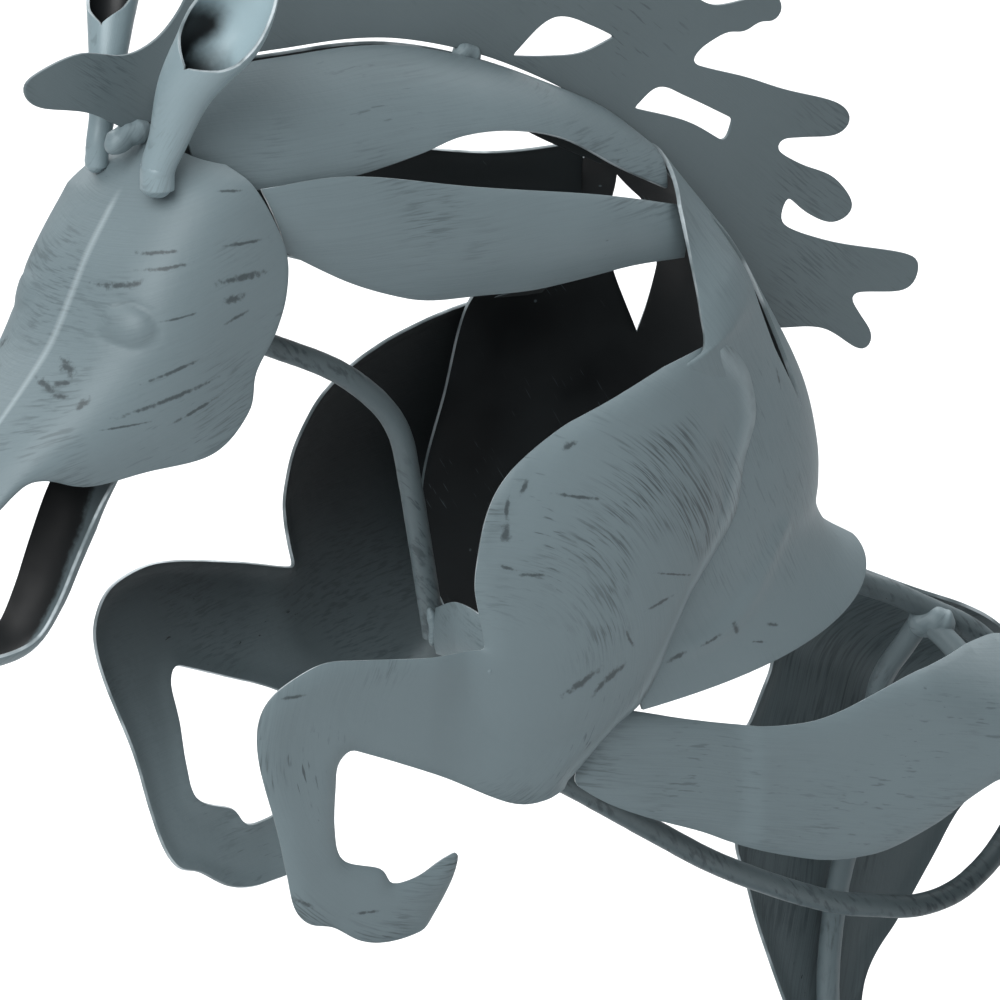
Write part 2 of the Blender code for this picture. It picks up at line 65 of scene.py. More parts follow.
# One pixel of the 1000 pixel photograph, and the pixel where the statue's own zero point would show.
PIXEL = 0.3
ZERO_PIXEL = (760, 1430)


def on_statue(u, v, y):
    """Where a spot of the photograph lies in the side elevation, on a surface at depth y."""
    turn, tilt = CAMERA_AZIMUTH, CAMERA_ELEVATION
    x = ((u - ZERO_PIXEL[0]) * PIXEL - math.sin(turn) * y) / math.cos(turn)
    shift = math.sin(tilt) * (math.cos(turn) * y - math.sin(turn) * x)
    return x, ((ZERO_PIXEL[1] - v) * PIXEL - shift) / math.cos(tilt)


# Materials

# Brush marks: length and width in millimetres, the noise levels between which they show, and detail.
HAIRS = (22, 0.34, 0.38, 0.72, 1.0)
BOLD = (9, 1.1, 0.62, 0.70, 2.0)
CHIPS = (4, 1.6, 0.70, 0.74, 3.0)
STROKE_LEVELS = (0.47, 0.66, 3.0)
SCRATCHES = (9, 0.5, 0.70, 0.74, 1.0)
SCRATCH_CENTRE = (-400, 100)

# Where the marks gather: the scale of the noise and the levels between which they come in.
BOLD_PATCHES = (15.0, 0.52, 0.64)
CHIP_PATCHES = (17.0, 0.58, 0.66)
SCRATCH_PATCHES = (38.0, 0.55, 0.65)

# Strokes have their true length at this spot, and fade close to the centre that they run round.
STROKE_SPOT = (-100, 300)
CLEAR_OF_CENTRE = (22, 50)
WOBBLE_SCALE = 22.0
WOBBLE = 4.0

# A dab reaches a little past its ends, and its border is ragged.
DAB_LENGTHS = (1.3, 1.5)
DAB_WIDTH = 0.85
DAB_DEPTH = 50
DAB_NOISE = (520.0, 3.0, 0.6)
DAB_RAGGED = 1.7
DAB_BORDER = (1.1, 1.8)


class Surface:
    """A Principled material built up node by node."""

    def __init__(self, name):
        self.material = bpy.data.materials.new(name)
        self.material.use_nodes = True
        self.tree = self.material.node_tree
        self.shader = self.tree.nodes["Principled BSDF"]
        self.place = self.node("ShaderNodeTexCoord", {}, "Object")

    def node(self, kind, inputs, output=0, **settings):
        """The output of a new node whose inputs are fed by index or by name."""
        made = self.tree.nodes.new(kind)
        for key, value in settings.items():
            setattr(made, key, value)
        self.feed(made, inputs)
        return made.outputs[output]

    def feed(self, node, inputs):
        for socket, value in inputs.items():
            if isinstance(value, bpy.types.NodeSocket):
                self.tree.links.new(value, node.inputs[socket])
            else:
                node.inputs[socket].default_value = value

    def math(self, operation, a, b=0.0):
        return self.node("ShaderNodeMath", {0: a, 1: b}, operation=operation)

    def product(self, first, *others):
        for other in others:
            first = self.math("MULTIPLY", first, other)
        return first

    def total(self, first, *others):
        for other in others:
            first = self.math("ADD", first, other)
        return first

    def ramp(self, value, low, high, start=0.0, end=1.0):
        return self.node("ShaderNodeMapRange", {0: value, 1: low, 2: high, 3: start, 4: end},
                         interpolation_type="SMOOTHSTEP")

    def noise(self, vector, scale, detail=2.0, roughness=0.5):
        return self.node("ShaderNodeTexNoise", {"Vector": vector, "Scale": scale, "Detail": detail,
                                                "Roughness": roughness}, "Fac")

    def patches(self, vector, scale, low, high):
        return self.ramp(self.noise(vector, scale, 1.0), low, high)

    def moved(self, shifts):
        """The place shifted, so that no two surfaces show the same noise."""
        return self.node("ShaderNodeVectorMath", {0: self.place, 1: shifts}, operation="ADD")

    def mix(self, share, a, b):
        return self.node("ShaderNodeMix", {0: share, 6: a, 7: b}, 2, data_type="RGBA")

    def split(self, vector):
        return self.node("ShaderNodeSeparateXYZ", {0: vector}).node.outputs

    def join(self, x, y, z):
        return self.node("ShaderNodeCombineXYZ", {0: x, 1: y, 2: z})

    def brushed(self, centre, seed):
        """Distance round and away from a centre in the side elevation: brush strokes run round it."""
        x, y, z = self.split(self.place)
        x = self.math("SUBTRACT", x, centre[0] * MM)
        z = self.math("SUBTRACT", z, centre[1] * MM)
        reach = math.hypot(centre[0] - STROKE_SPOT[0], centre[1] - STROKE_SPOT[1]) * MM
        wobble = self.product(self.noise(self.place, WOBBLE_SCALE, 1.0), WOBBLE * MM)
        squared = self.total(self.product(x, x), self.product(z, z))
        away = self.total(self.math("SQRT", squared), wobble)
        around = self.product(self.math("ARCTAN2", z, x), reach)
        self.clear_of_centre = self.ramp(away, CLEAR_OF_CENTRE[0] * MM, CLEAR_OF_CENTRE[1] * MM)
        return around, self.total(away, seed * 0.37), y

    def strokes(self, brushed, long, wide, low, high, detail=2.0):
        around, away, y = brushed
        stretched = self.join(self.product(around, 1 / (long * MM)), self.product(away, 1 / (wide * MM)),
                              self.product(y, 1 / (0.8 * long * MM)))
        return self.ramp(self.noise(stretched, 1.0, detail, 0.55), low, high)

    def marks(self, spots, depth):
        """Dark dabs: two ends and a width in pixels of the photograph, and any depth of its own."""
        rough = self.product(self.noise(self.place, *DAB_NOISE), DAB_RAGGED)
        covered = None
        for u1, v1, u2, v2, width, *own in spots:
            y = own[0] if own else depth
            (x1, z1), (x2, z2) = on_statue(u1, v1, y), on_statue(u2, v2, y)
            wide = width * PIXEL
            reach = (DAB_LENGTHS[0] * math.hypot(x2 - x1, z2 - z1) + DAB_LENGTHS[1] * wide) / 2
            dab = self.node("ShaderNodeMapping", {
                "Vector": self.place,
                "Location": ((x1 + x2) / 2 * MM, y * MM, (z1 + z2) / 2 * MM),
                "Rotation": (0, -math.atan2(z2 - z1, x2 - x1), 0),
                "Scale": (reach * MM, DAB_DEPTH * MM, DAB_WIDTH * wide * MM),
            }, vector_type="TEXTURE")
            away = self.node("ShaderNodeVectorMath", {0: dab}, "Value", operation="LENGTH")
            mask = self.ramp(self.total(away, rough), *DAB_BORDER, 1.0, 0.0)
            covered = mask if covered is None else self.math("MAXIMUM", covered, mask)
        return covered

    def bump(self, height, strength, distance):
        normal = self.node("ShaderNodeBump", {"Strength": strength, "Distance": distance * MM,
                                              "Height": height})
        self.feed(self.shader, {"Normal": normal})

    def finished(self, colour, roughness, specular=0.5, metallic=0.0):
        self.feed(self.shader, {"Base Color": colour, "Roughness": roughness,
                                "Specular IOR Level": specular, "Metallic": metallic})
        return self.material


GREY = (0.116, 0.154, 0.168, 1)
PALE = (0.30, 0.355, 0.375, 1)
STREAK = (0.036, 0.050, 0.056, 1)
BLACK = (0.0058, 0.0072, 0.0082, 1)
SLATE = (0.060, 0.081, 0.089, 1)
# Cut edges: dull, and bright as rubbed paint with a painted highlight.
DULL_EDGE = (0.10, 0.13, 0.14, 1)
BRIGHT_EDGE = (0.30, 0.345, 0.365, 1)


def times(colour, share):
    return tuple(share * c for c in colour[:3]) + (1,)


def along(degrees, x=-150, z=350):
    """A far centre, round which brush strokes run straight, tilted up by the angle towards the tail."""
    turn = math.radians(degrees)
    return x + 3000 * math.sin(turn), z - 3000 * math.cos(turn)


def outer_paint(name, centre, seed, grey=GREY, streaks=0.5, dabs=0.4, patches=(0.48, 0.64), spots=(),
                depth=-50.0, stroke=(10, 0.65), fine=0.12, painted_shade_above=None, gloss=0.46):
    """Blue-grey paint dry-brushed over a black coat, which shows as thin strokes and small dabs."""
    s = Surface(name)
    brushed = s.brushed(centre, seed)
    clear = s.clear_of_centre
    place = s.moved((seed * 0.61, seed * 0.23, seed * 0.47))
    cloud = s.noise(place, 13.0, 3.0)
    where = s.product(s.ramp(s.noise(place, 24.0, 2.0), *patches), clear)
    strokes = s.strokes(brushed, *stroke, *STROKE_LEVELS)
    hairs = s.product(s.strokes(brushed, *HAIRS), clear)
    bold = s.product(s.strokes(brushed, *BOLD), s.patches(place, *BOLD_PATCHES), clear)
    chips = s.product(s.strokes(brushed, *CHIPS), s.patches(place, *CHIP_PATCHES))
    colour = s.mix(s.ramp(cloud, 0.3, 0.7, 0.0, 0.30), grey, times(grey, 0.78))
    colour = s.mix(s.product(hairs, s.ramp(cloud, 0.4, 0.65, 0.02, fine)), colour, STREAK)
    colour = s.mix(s.product(strokes, where, streaks), colour, STREAK)
    colour = s.mix(s.product(bold, streaks), colour, STREAK)
    colour = s.mix(s.product(chips, dabs), colour, BLACK)
    if spots:
        colour = s.mix(s.product(s.marks(spots, depth), 0.85), colour, times(STREAK, 0.7))
    # Painted shade: the colour goes to black towards the top.
    if painted_shade_above:
        low, high = painted_shade_above
        height = s.total(s.split(s.place)[2], s.product(cloud, 20 * MM))
        colour = s.mix(s.ramp(height, low * MM, high * MM, 0.0, 0.95), colour, BLACK)
    # The wear-and-highlight attribute pales the paint: rubbed wear with a painted highlight on the nose
    # crease, and a painted highlight on the shoulder ridge.
    wear_and_highlight_share = s.node("ShaderNodeAttribute", {}, "Fac", attribute_name="wear_and_highlight")
    grain = s.total(s.product(hairs, -0.2), s.noise(place, 420.0, 2.0))
    lumps = s.product(s.noise(place, 50.0, 2.0), 3.0)
    s.bump(s.total(grain, lumps), 0.35, 0.25)
    return s.finished(s.mix(wear_and_highlight_share, colour, PALE), s.total(gloss, s.product(cloud, 0.14)), 0.35, 0.08)


def inner_paint(name, seed, grey=0.0):
    """Black undercoat with specks and fine scratches, and grey overspray where some has drifted on."""
    s = Surface(name)
    place = s.moved((seed * 0.31, seed * 0.53, seed * 0.19))
    drift = s.total(s.product(s.noise(place, 30.0, 3.0), 0.25), grey - 0.1)
    speck = s.node("ShaderNodeTexVoronoi", {"Vector": place, "Scale": 190.0}).node
    dots = s.ramp(speck.outputs["Distance"], 0.05, 0.12, 1.0, 0.0)
    chosen = s.ramp(s.split(speck.outputs["Color"])[0], 0.86, 0.88)
    scratch = s.strokes(s.brushed(SCRATCH_CENTRE, seed), *SCRATCHES)
    scratch = s.product(scratch, s.patches(place, *SCRATCH_PATCHES))
    colour = s.mix(drift, BLACK, SLATE)
    colour = s.mix(s.product(dots, chosen, 0.55), colour, GREY)
    colour = s.mix(s.product(scratch, 0.35), colour, GREY)
    s.bump(s.noise(place, 300.0, 3.0), 0.3, 0.2)
    return s.finished(colour, s.ramp(s.noise(place, 60.0, 2.0), 0.3, 0.7, 0.42, 0.58), 0.25)


def edge_wear_and_highlight_paint():
    """The cut edge of the sheet, painted pale: partly paint rubbed thin, partly a painted highlight along
    the edge.
    """
    s = Surface("cut_edge")
    rubbed_and_highlighted = s.ramp(s.noise(s.place, 60.0, 3.0), 0.40, 0.62)
    s.bump(s.noise(s.place, 500.0, 2.0), 0.3, 0.2)
    colour = s.mix(rubbed_and_highlighted, DULL_EDGE, BRIGHT_EDGE)
    return s.finished(colour, s.ramp(rubbed_and_highlighted, 0.0, 1.0, 0.5, 0.36), metallic=0.2)


def two_tone_paint_and_painted_light(name, light, roughness, ragged):
    """Grey and black with a ragged border between: on the jaw, grey overspray drifted into a hollow and
    black where none has reached; in the ears, a painted highlight in the grey and painted shade in the
    black.
    """
    s = Surface(name)
    dark = s.node("ShaderNodeAttribute", {}, "Fac", attribute_name="dark")
    waves = s.product(s.noise(s.place, 90.0, 3.0), 0.4)
    border = s.total(waves, s.product(s.noise(s.place, 600.0, 2.0), ragged))
    dark = s.total(dark, s.math("SUBTRACT", border, 0.2 + ragged / 2))
    gloss = s.ramp(s.noise(s.place, 60.0, 2.0), 0.3, 0.7, roughness, roughness + 0.12)
    s.bump(s.noise(s.place, 300.0, 3.0), 0.3, 0.2)
    return s.finished(s.mix(s.ramp(dark, 0.1, 0.9), light, BLACK), gloss, 0.3)


EDGE_WEAR_AND_HIGHLIGHT = edge_wear_and_highlight_paint()
# Ear insides: the ear's grey paint brightened as a painted highlight, and black as painted shade, placed by
# the dark attribute.
EAR_INSIDE_PAINTED_LIGHT = two_tone_paint_and_painted_light("ear_inside_painted_highlight_and_shade", times(GREY, 2.3), 0.34, 0.1)
JAW_INSIDE = two_tone_paint_and_painted_light("jaw_inside", times(GREY, 0.8), 0.5, 0.6)
INSIDE = inner_paint("black_inside", 1)
# The far foreleg's inside gets painted shade, black towards the top up inside the body.
INSIDE_LEG = outer_paint("grey_inside_leg", along(10), 2, times(GREY, 0.88), 0.5, 0.9,
                         stroke=(5, 0.9), painted_shade_above=(222, 322))
INSIDE_HAUNCH = outer_paint("slate_inside_haunch", along(72), 3, times(GREY, 0.62), 0.9, 0.9,
                            (0.36, 0.50), stroke=(18, 1.3), fine=0.5)
INSIDE_NECK = inner_paint("black_inside_neck", 4, 0.12)


# Curves and meshes

def smooth(points, count):
    """Points spaced evenly along a curve that passes through the given ones."""
    knots = np.array(points, float)
    if len(knots) == 2:
        share = np.linspace(0, 1, count)[:, None]
        return knots[0] + (knots[1] - knots[0]) * share
    knots = np.vstack([2 * knots[0] - knots[1], knots, 2 * knots[-1] - knots[-2]])
    fine = []
    for a, b, c, d in zip(knots, knots[1:], knots[2:], knots[3:]):
        for t in np.linspace(0, 1, 16, endpoint=False):
            line = 2 * b + (c - a) * t
            turn = (2 * a - 5 * b + 4 * c - d) * t**2 + (3 * b - a - 3 * c + d) * t**3
            fine.append((line + turn) / 2)
    fine = np.array(fine + [knots[-2]])
    travel = travelled(fine)
    places = np.linspace(0, travel[-1], count)
    return np.stack([np.interp(places, travel, axis) for axis in fine.T], axis=1)


def step(value, start, end):
    """0 up to the start, 1 from the end on and in proportion between."""
    return np.clip((value - start) / (end - start), 0, 1)


def travelled(points):
    """How far along the line each of its points is."""
    return np.concatenate([[0], np.cumsum(np.linalg.norm(np.diff(points, axis=0), axis=1))])


def in_middle(line):
    """Points of the side elevation, put in the statue's middle plane."""
    return np.insert(np.array(line, float), 1, 0, axis=1)


def closed_outline(runs, spacing):
    """One ring of points. Each run is a smooth curve, and it meets the next run at a corner."""
    ring = []
    for run, after in zip(runs, runs[1:] + runs[:1]):
        knots = list(run) + [after[0]]
        count = max(2, math.ceil(travelled(knots)[-1] / spacing) + 1)
        ring.extend(smooth(knots, count)[:-1])
    return np.array(ring)


def softened(ring, rounds):
    """The ring with its corners rounded a little."""
    for _ in range(rounds):
        ring = (np.roll(ring, 1, axis=0) + 2 * ring + np.roll(ring, -1, axis=0)) / 4
    return ring


def is_inside(points, ring):
    inside = np.zeros(len(points), bool)
    x, z = points[:, 0], points[:, 1]
    for (x1, z1), (x2, z2) in zip(ring, np.roll(ring, -1, axis=0)):
        crosses = (z1 > z) != (z2 > z)
        if crosses.any():
            reach = x1 + (z[crosses] - z1) * (x2 - x1) / (z2 - z1)
            inside[crosses] ^= x[crosses] < reach
    return inside


def distance_to(points, line):
    """How far each point lies from a line of points."""
    line = np.array(line, float)
    nearest = np.full(len(points), np.inf)
    for a, b in zip(line, line[1:]):
        span = b - a
        share = np.clip(((points - a) @ span) / max(span @ span, 1e-9), 0, 1)
        nearest = np.minimum(nearest, np.linalg.norm(points - a - share[:, None] * span, axis=1))
    return nearest


def mirrored(points, side):
    turned = np.array(points, float)
    if side == RIGHT:
        turned[..., 1] *= -1
    return turned


def grid_faces(rows, columns, first=0, closed=False):
    faces = []
    for a in range(first, first + (rows - 1) * columns, columns):
        b = a + columns
        for c in range(columns if closed else columns - 1):
            d = (c + 1) % columns
            faces.append((a + c, a + d, b + d, b + c))
    return faces


def placed(name, data):
    made = bpy.data.objects.new(name, data)
    bpy.context.scene.collection.objects.link(made)
    return made


def rounded(body, width, segments):
    """Rounds the body's sharp edges."""
    rounding = body.modifiers.new("edges", "BEVEL")
    rounding.width = width * MM
    rounding.segments = segments
    rounding.limit_method = "ANGLE"
    rounding.angle_limit = math.radians(50)


def carried(body, node=None):
    """The piece rides on the statue and stands for its CAD node."""
    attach(body, "root")
    if node:
        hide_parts(node)
    return body


def sheet(node, points, faces, materials, outwards, thickness=SHEET, wear_and_highlight=None, dark=None):
    """A sheet with the first material on its outer face, the second inside and a cut edge painted pale, as
    rubbed wear and a painted highlight.

    outwards is a direction that the outer face looks in, or a point that it looks away from.
    """
    work = bmesh.new()
    wear_and_highlight_layer = work.verts.layers.float.new("wear_and_highlight")
    dark_layer = work.verts.layers.float.new("dark")
    corners = []
    for index, place in enumerate(np.array(points, float) * MM):
        corner = work.verts.new(place)
        corner[wear_and_highlight_layer] = 0.0 if wear_and_highlight is None else float(wear_and_highlight[index])
        corner[dark_layer] = 0.0 if dark is None else float(dark[index])
        corners.append(corner)
    for face in faces:
        work.faces.new([corners[i] for i in face])
    bmesh.ops.remove_doubles(work, verts=work.verts, dist=0.02 * MM)
    bmesh.ops.recalc_face_normals(work, faces=work.faces)
    kind, value = outwards
    value = Vector(value) * MM
    facing = 0.0
    for face in work.faces:
        outward = value if kind == "direction" else face.calc_center_median() - value
        facing += face.calc_area() * face.normal.dot(outward)
    if facing < 0:
        bmesh.ops.reverse_faces(work, faces=work.faces)
    mesh = bpy.data.meshes.new(node + "_sheet")
    work.to_mesh(mesh)
    work.free()
    mesh.shade_smooth()
    for material in (*materials, EDGE_WEAR_AND_HIGHLIGHT):
        mesh.materials.append(material)
    body = placed(node + "_sheet", mesh)
    thicken = body.modifiers.new("thickness", "SOLIDIFY")
    thicken.thickness = thickness * MM
    thicken.offset = 0
    thicken.material_offset = 1
    thicken.material_offset_rim = 2
    rounded(body, 0.22, 2)
    return carried(body, node)


def lofted_strip(node, first_edge, second_edge, rise, side, materials, outwards, rows=61,
                 columns=15, towards=(0, -1, 0), dark=None):
    """A strip of sheet between two edges, crowned by rise along the direction towards."""
    edge_a, edge_b = smooth(first_edge, rows), smooth(second_edge, rows)
    rises = np.interp(np.linspace(0, 1, rows), np.linspace(0, 1, len(rise)), rise)
    ways = np.gradient((edge_a + edge_b) / 2, axis=0)
    points = []
    for a, b, way, height in zip(edge_a, edge_b, ways, rises):
        out = np.cross(b - a, way)
        out /= np.linalg.norm(out)
        if out @ np.array(towards, float) < 0:
            out = -out
        for share in np.linspace(0, 1, columns):
            points.append(a + (b - a) * share + out * height * 4 * share * (1 - share))
    kind, value = outwards
    outwards = (kind, mirrored(value, side))
    faces = grid_faces(rows, columns)
    return sheet(node, mirrored(points, side), faces, materials, outwards, dark=dark)


def pressed_plate(node, runs, depth, side, materials, wear_and_highlight=None):
    """A plate cut to an outline in the side elevation and pressed to the depth y = depth(x, z)."""
    ring = softened(closed_outline(runs, 1.6), 2)
    low, high = ring.min(axis=0), ring.max(axis=0)
    spots = np.array([
        (x + (row % 2) * PLATE_GRAIN / 2, z)
        for row, z in enumerate(np.arange(low[1], high[1], PLATE_GRAIN * 0.87))
        for x in np.arange(low[0], high[0], PLATE_GRAIN)
    ])
    spots = spots[is_inside(spots, ring)]
    closed = np.vstack([ring, ring[:1]])
    spots = spots[distance_to(spots, closed) > PLATE_GRAIN * 0.5]
    flat = np.vstack([ring, spots])
    rim = [(i, (i + 1) % len(ring)) for i in range(len(ring))]
    made = delaunay_2d_cdt([Vector(p) for p in flat], rim, [], 1, 1e-5)
    flat, faces = np.array([tuple(v) for v in made[0]]), [tuple(face) for face in made[2]]
    y = depth(flat, distance_to(flat, closed))
    points = np.stack([flat[:, 0], y, flat[:, 1]], axis=1)
    wear_and_highlight_share = None if wear_and_highlight is None else wear_and_highlight(flat)
    outwards = ("direction", (0, side, 0))
    return sheet(node, mirrored(points, side), faces, materials, outwards, wear_and_highlight=wear_and_highlight_share)


def flat_plate(node, rings, material):
    """A flat plate in the plane y = 0 with softened edges, and any slots cut through it."""
    curve = bpy.data.curves.new(node + "_plate", "CURVE")
    curve.dimensions = "2D"
    curve.fill_mode = "BOTH"
    curve.bevel_depth = PLATE_ROUNDING * MM
    curve.bevel_resolution = 1
    curve.offset = -PLATE_ROUNDING * MM
    curve.extrude = (SHEET / 2 - PLATE_ROUNDING) * MM
    for ring in rings:
        spline = curve.splines.new("POLY")
        spline.points.add(len(ring) - 1)
        for point, (x, z) in zip(spline.points, np.array(ring) * MM):
            point.co = (x, z, 0, 1)
        spline.use_cyclic_u = True
    maker = placed(node + "_outline", curve)
    maker.matrix_world = Matrix.Rotation(math.pi / 2, 4, "X")
    bpy.context.view_layer.update()
    filled = maker.evaluated_get(bpy.context.evaluated_depsgraph_get())
    mesh = bpy.data.meshes.new_from_object(filled)
    mesh.transform(maker.matrix_world)
    bpy.data.objects.remove(maker)
    mesh.name = node + "_plate"
    mesh.materials.clear()
    mesh.materials.append(material)
    mesh.set_sharp_from_angle(angle=math.radians(40))
    return carried(placed(node + "_plate", mesh), node)


def tube(name, route, radius, material, node, count, lumps, seed, taper=0.0):
    """A round rod or a weld bead along a smooth route. Beads have lumps and rounded ends."""
    centres = smooth(route, count)
    ways = np.gradient(centres, axis=0)
    ways /= np.linalg.norm(ways, axis=1)[:, None]
    travel = travelled(centres)
    side = np.cross(ways[0], (0.3, 0.2, 0.93))
    chance = np.random.default_rng(seed)
    phases = chance.uniform(0, 6.28, (5, 2))
    sides = 20
    points = []
    for index, (centre, way) in enumerate(zip(centres, ways)):
        side = side - way * (side @ way)
        side /= np.linalg.norm(side)
        over = np.cross(way, side)
        share = travel[index] / travel[-1]
        end = 1 - taper * (1 - min(1, 4 * min(share, 1 - share)) ** 0.5)
        for corner in range(sides):
            angle = 2 * math.pi * corner / sides
            bumps = sum(
                math.sin(travel[index] * (0.3 + 0.35 * k) + p + math.sin(angle * (1 + k % 2) + q) * 1.2)
                for k, (p, q) in enumerate(phases)
            ) / 5
            reach = radius * end * (1 + lumps * bumps)
            points.append(centre + reach * (side * math.cos(angle) + over * math.sin(angle)))
    faces = grid_faces(count, sides, closed=True)
    faces += [tuple(range(sides))[::-1], tuple((count - 1) * sides + c for c in range(sides))]
    mesh = bpy.data.meshes.new(name)
    mesh.from_pydata([Vector(p) for p in np.array(points) * MM], [], faces)
    work = bmesh.new()
    work.from_mesh(mesh)
    bmesh.ops.recalc_face_normals(work, faces=work.faces)
    work.to_mesh(mesh)
    work.free()
    mesh.shade_smooth()
    mesh.set_sharp_from_angle(angle=math.radians(60))
    mesh.materials.append(material)
    return carried(placed(name, mesh), node)


# Head, jaw and ears

NOSE_CREASE = [
    (-221, 439), (-228, 428), (-236, 416), (-243, 405), (-249, 393), (-256, 380), (-265, 369), (-278, 355),
    (-290, 343), (-299, 334), (-303, 326),
]
CHEEK_FOLD = [
    (-215, -13, 433), (-222, -24, 425), (-231, -28, 414), (-239, -30, 402), (-245, -30, 389),
    (-252, -28, 377), (-261, -24, 365), (-273, -19, 353), (-285, -15, 342), (-295, -14, 332),
    (-300, -11, 325),
]
CHEEK_EDGE = [
    (-207, -19, 431), (-201, -26, 424), (-193, -29, 406), (-193, -30, 393), (-197, -30, 381),
    (-204, -30, 370), (-206, -29, 358), (-218, -28, 347), (-239, -24, 344), (-256, -18, 341),
    (-272, -15, 345), (-285, -15, 338), (-292, -14, 330), (-296, -10, 322),
]
FAR_CHEEK_SHIFT = np.array([-6.0, 4.0, 1.0])
EYE_CENTRE = (-244.5, -29.5, 389)
EYE_REACH = 5.6
EYE_RISE = 2.2
EYE_GROOVE = 0.4
EYE_WAY = np.array([-0.62, -0.72, 0.3])
BROW_SHIFT = np.array([-1.2, 0.0, 0.4])
FOLD_SHIFT = np.array([1.4, 1.2, 0])
# The cheek's fullness: how far from the fold to the edge, and how far it stands out there.
CHEEK_BULGES = ((0.25, 3.6), (0.5, 3.4), (0.75, 2.2))
FULL_WIDTH = 24
HEAD_EASING = 70
# The nose crease is painted paler along its line: a painted highlight with some rubbed wear.
CREASE_WEAR_AND_HIGHLIGHT = 0.5
CREASE_PALE_FROM = (0.13, 0.18)
HEAD_CENTRE = (-228, 0, 385)
# Dark dabs on the head: both ends in the photograph, the width in pixels and the depth of the surface.
HEAD_MARKS = (
    (148, 258, 168, 250, 3, -18), (106, 288, 122, 276, 4, -8), (155, 276, 185, 263, 3, -23),
    (220, 284, 262, 275, 6, -29), (222, 303, 241, 297, 6, -29), (225, 323, 245, 313, 3, -29),
    (150, 382, 195, 357, 3, -27), (130, 415, 205, 378, 4, -26), (62, 359, 58, 370, 4, -2),
    (43, 386, 45, 380, 4, -1), (55, 383, 62, 378, 3, -5), (57, 396, 61, 393, 3, -8),
    (90, 398, 82, 408, 4, -17), (165, 322, 190, 312, 2, -26), (100, 430, 140, 418, 2, -22),
    (175, 420, 215, 395, 3, -27), (226, 250, 262, 244, 3, -29), (228, 200, 250, 198, 2, -28),
)


def head():
    rows, across = 121, 41
    lines = [smooth(line, rows) for line in (in_middle(NOSE_CREASE), CHEEK_FOLD, CHEEK_EDGE)]
    points, wear_and_highlight = [], []
    for c, f, e, s in zip(*lines, np.linspace(0, 1, rows)):
        full = min(1, abs(f[1]) / FULL_WIDTH)
        cheek = [f + (e - f) * t - np.array([0, bulge, 0]) * full for t, bulge in CHEEK_BULGES]
        half = smooth([c, (c + f) / 2 + BROW_SHIFT, f + FOLD_SHIFT * full] + cheek + [e], across)
        for _ in range(HEAD_EASING):
            half[1:-1] = (half[:-2] + 2 * half[1:-1] + half[2:]) / 4
        off_eye = np.linalg.norm((half - EYE_CENTRE)[:, [0, 2]], axis=1) / EYE_REACH
        lift = EYE_RISE * np.clip(1 - off_eye**2, 0, 1) ** 0.8
        lift -= EYE_GROOVE * np.exp(-((off_eye - 1.15) / 0.22) ** 2)
        lift = (lift * (half[:, 1] < -16))[:, None] * EYE_WAY
        spread = np.clip(np.linspace(0, 2.2, across), 0, 1)[:, None] * min(1, 6 * s, 5 * (1 - s))
        far = (half + 0.4 * lift) * (1, -1, 1) + spread * FAR_CHEEK_SHIFT
        row = np.vstack([(half + lift)[::-1], far[1:]])
        points.extend(row)
        line = np.zeros(len(row))
        line[across - 1] = CREASE_WEAR_AND_HIGHLIGHT * step(s, *CREASE_PALE_FROM)
        wear_and_highlight.extend(line)
    paint = outer_paint("head_paint", along(19), 1, streaks=0.45, patches=(0.50, 0.64),
                        spots=HEAD_MARKS, fine=0.05)
    faces = grid_faces(rows, 2 * across - 1)
    sheet("head", points, faces, (paint, INSIDE), ("away", HEAD_CENTRE), wear_and_highlight=wear_and_highlight)


JAW_EDGE = [
    (-241, -14, 343), (-249, -13.5, 331), (-256, -12.5, 317), (-262, -11.5, 304), (-269, -10, 294),
    (-280, -7, 290), (-290, -3, 290),
]
JAW_DEPTHS = (7, 9, 8, 6, 3)
# The jaw's inside is dark past this share of its width at the top, and from further forward at the tip.
JAW_DARK_FROM = 0.60
JAW_DARK_SHIFT = 0.14
JAW_DARK_FADE = 0.16


def lower_jaw():
    other = [(x, -y, z) for x, y, z in JAW_EDGE]
    rows, columns = 45, 21
    across, down = np.linspace(0, 1, columns), np.linspace(0, 1, rows)[:, None]
    dark = ((across - JAW_DARK_FROM + JAW_DARK_SHIFT * down) / JAW_DARK_FADE + 0.5).ravel()
    paint = outer_paint("jaw_paint", along(60), 2)
    lofted_strip("lower_jaw", JAW_EDGE, other, JAW_DEPTHS, LEFT, (paint, JAW_INSIDE),
                 ("direction", (1, 0, -1)), rows, columns, (1, 0, -1), dark)


EAR_AXIS = [
    (-230, -17, 427), (-229.5, -17, 434), (-227, -18.5, 442), (-223, -22, 458), (-216.5, -30, 474.5),
    (-210.5, -36, 489), (-204, -40, 506),
]
EAR_BACK = (0.85, 0.52, -0.2)
EAR_FULLNESS = {LEFT: 1.0, RIGHT: 0.64}
EAR_LEAN = {LEFT: 1.0, RIGHT: 0.85}
EAR_SHARES = (0, 0.08, 0.18, 0.29, 0.41, 0.47, 0.53, 0.57, 0.65, 0.72, 0.8, 1)
EAR_RADII = (4.6, 4.7, 5.4, 6.9, 8.7, 9.6, 10.4, 11.4, 11.8, 10.8, 9, 1.4)
EAR_SPAN_DEGREES = (180, 180, 180, 180, 180, 180, 126, 108, 96, 88, 80, 60)
# Painted shade: the near ear is painted black deep inside and, for a stretch, on one side of its mouth.
EAR_DEEP = (0.58, 0.38)
EAR_SHADE_ROUND = (0.02, 0.37)
EAR_SHADE_UP = (0.70, 0.56)


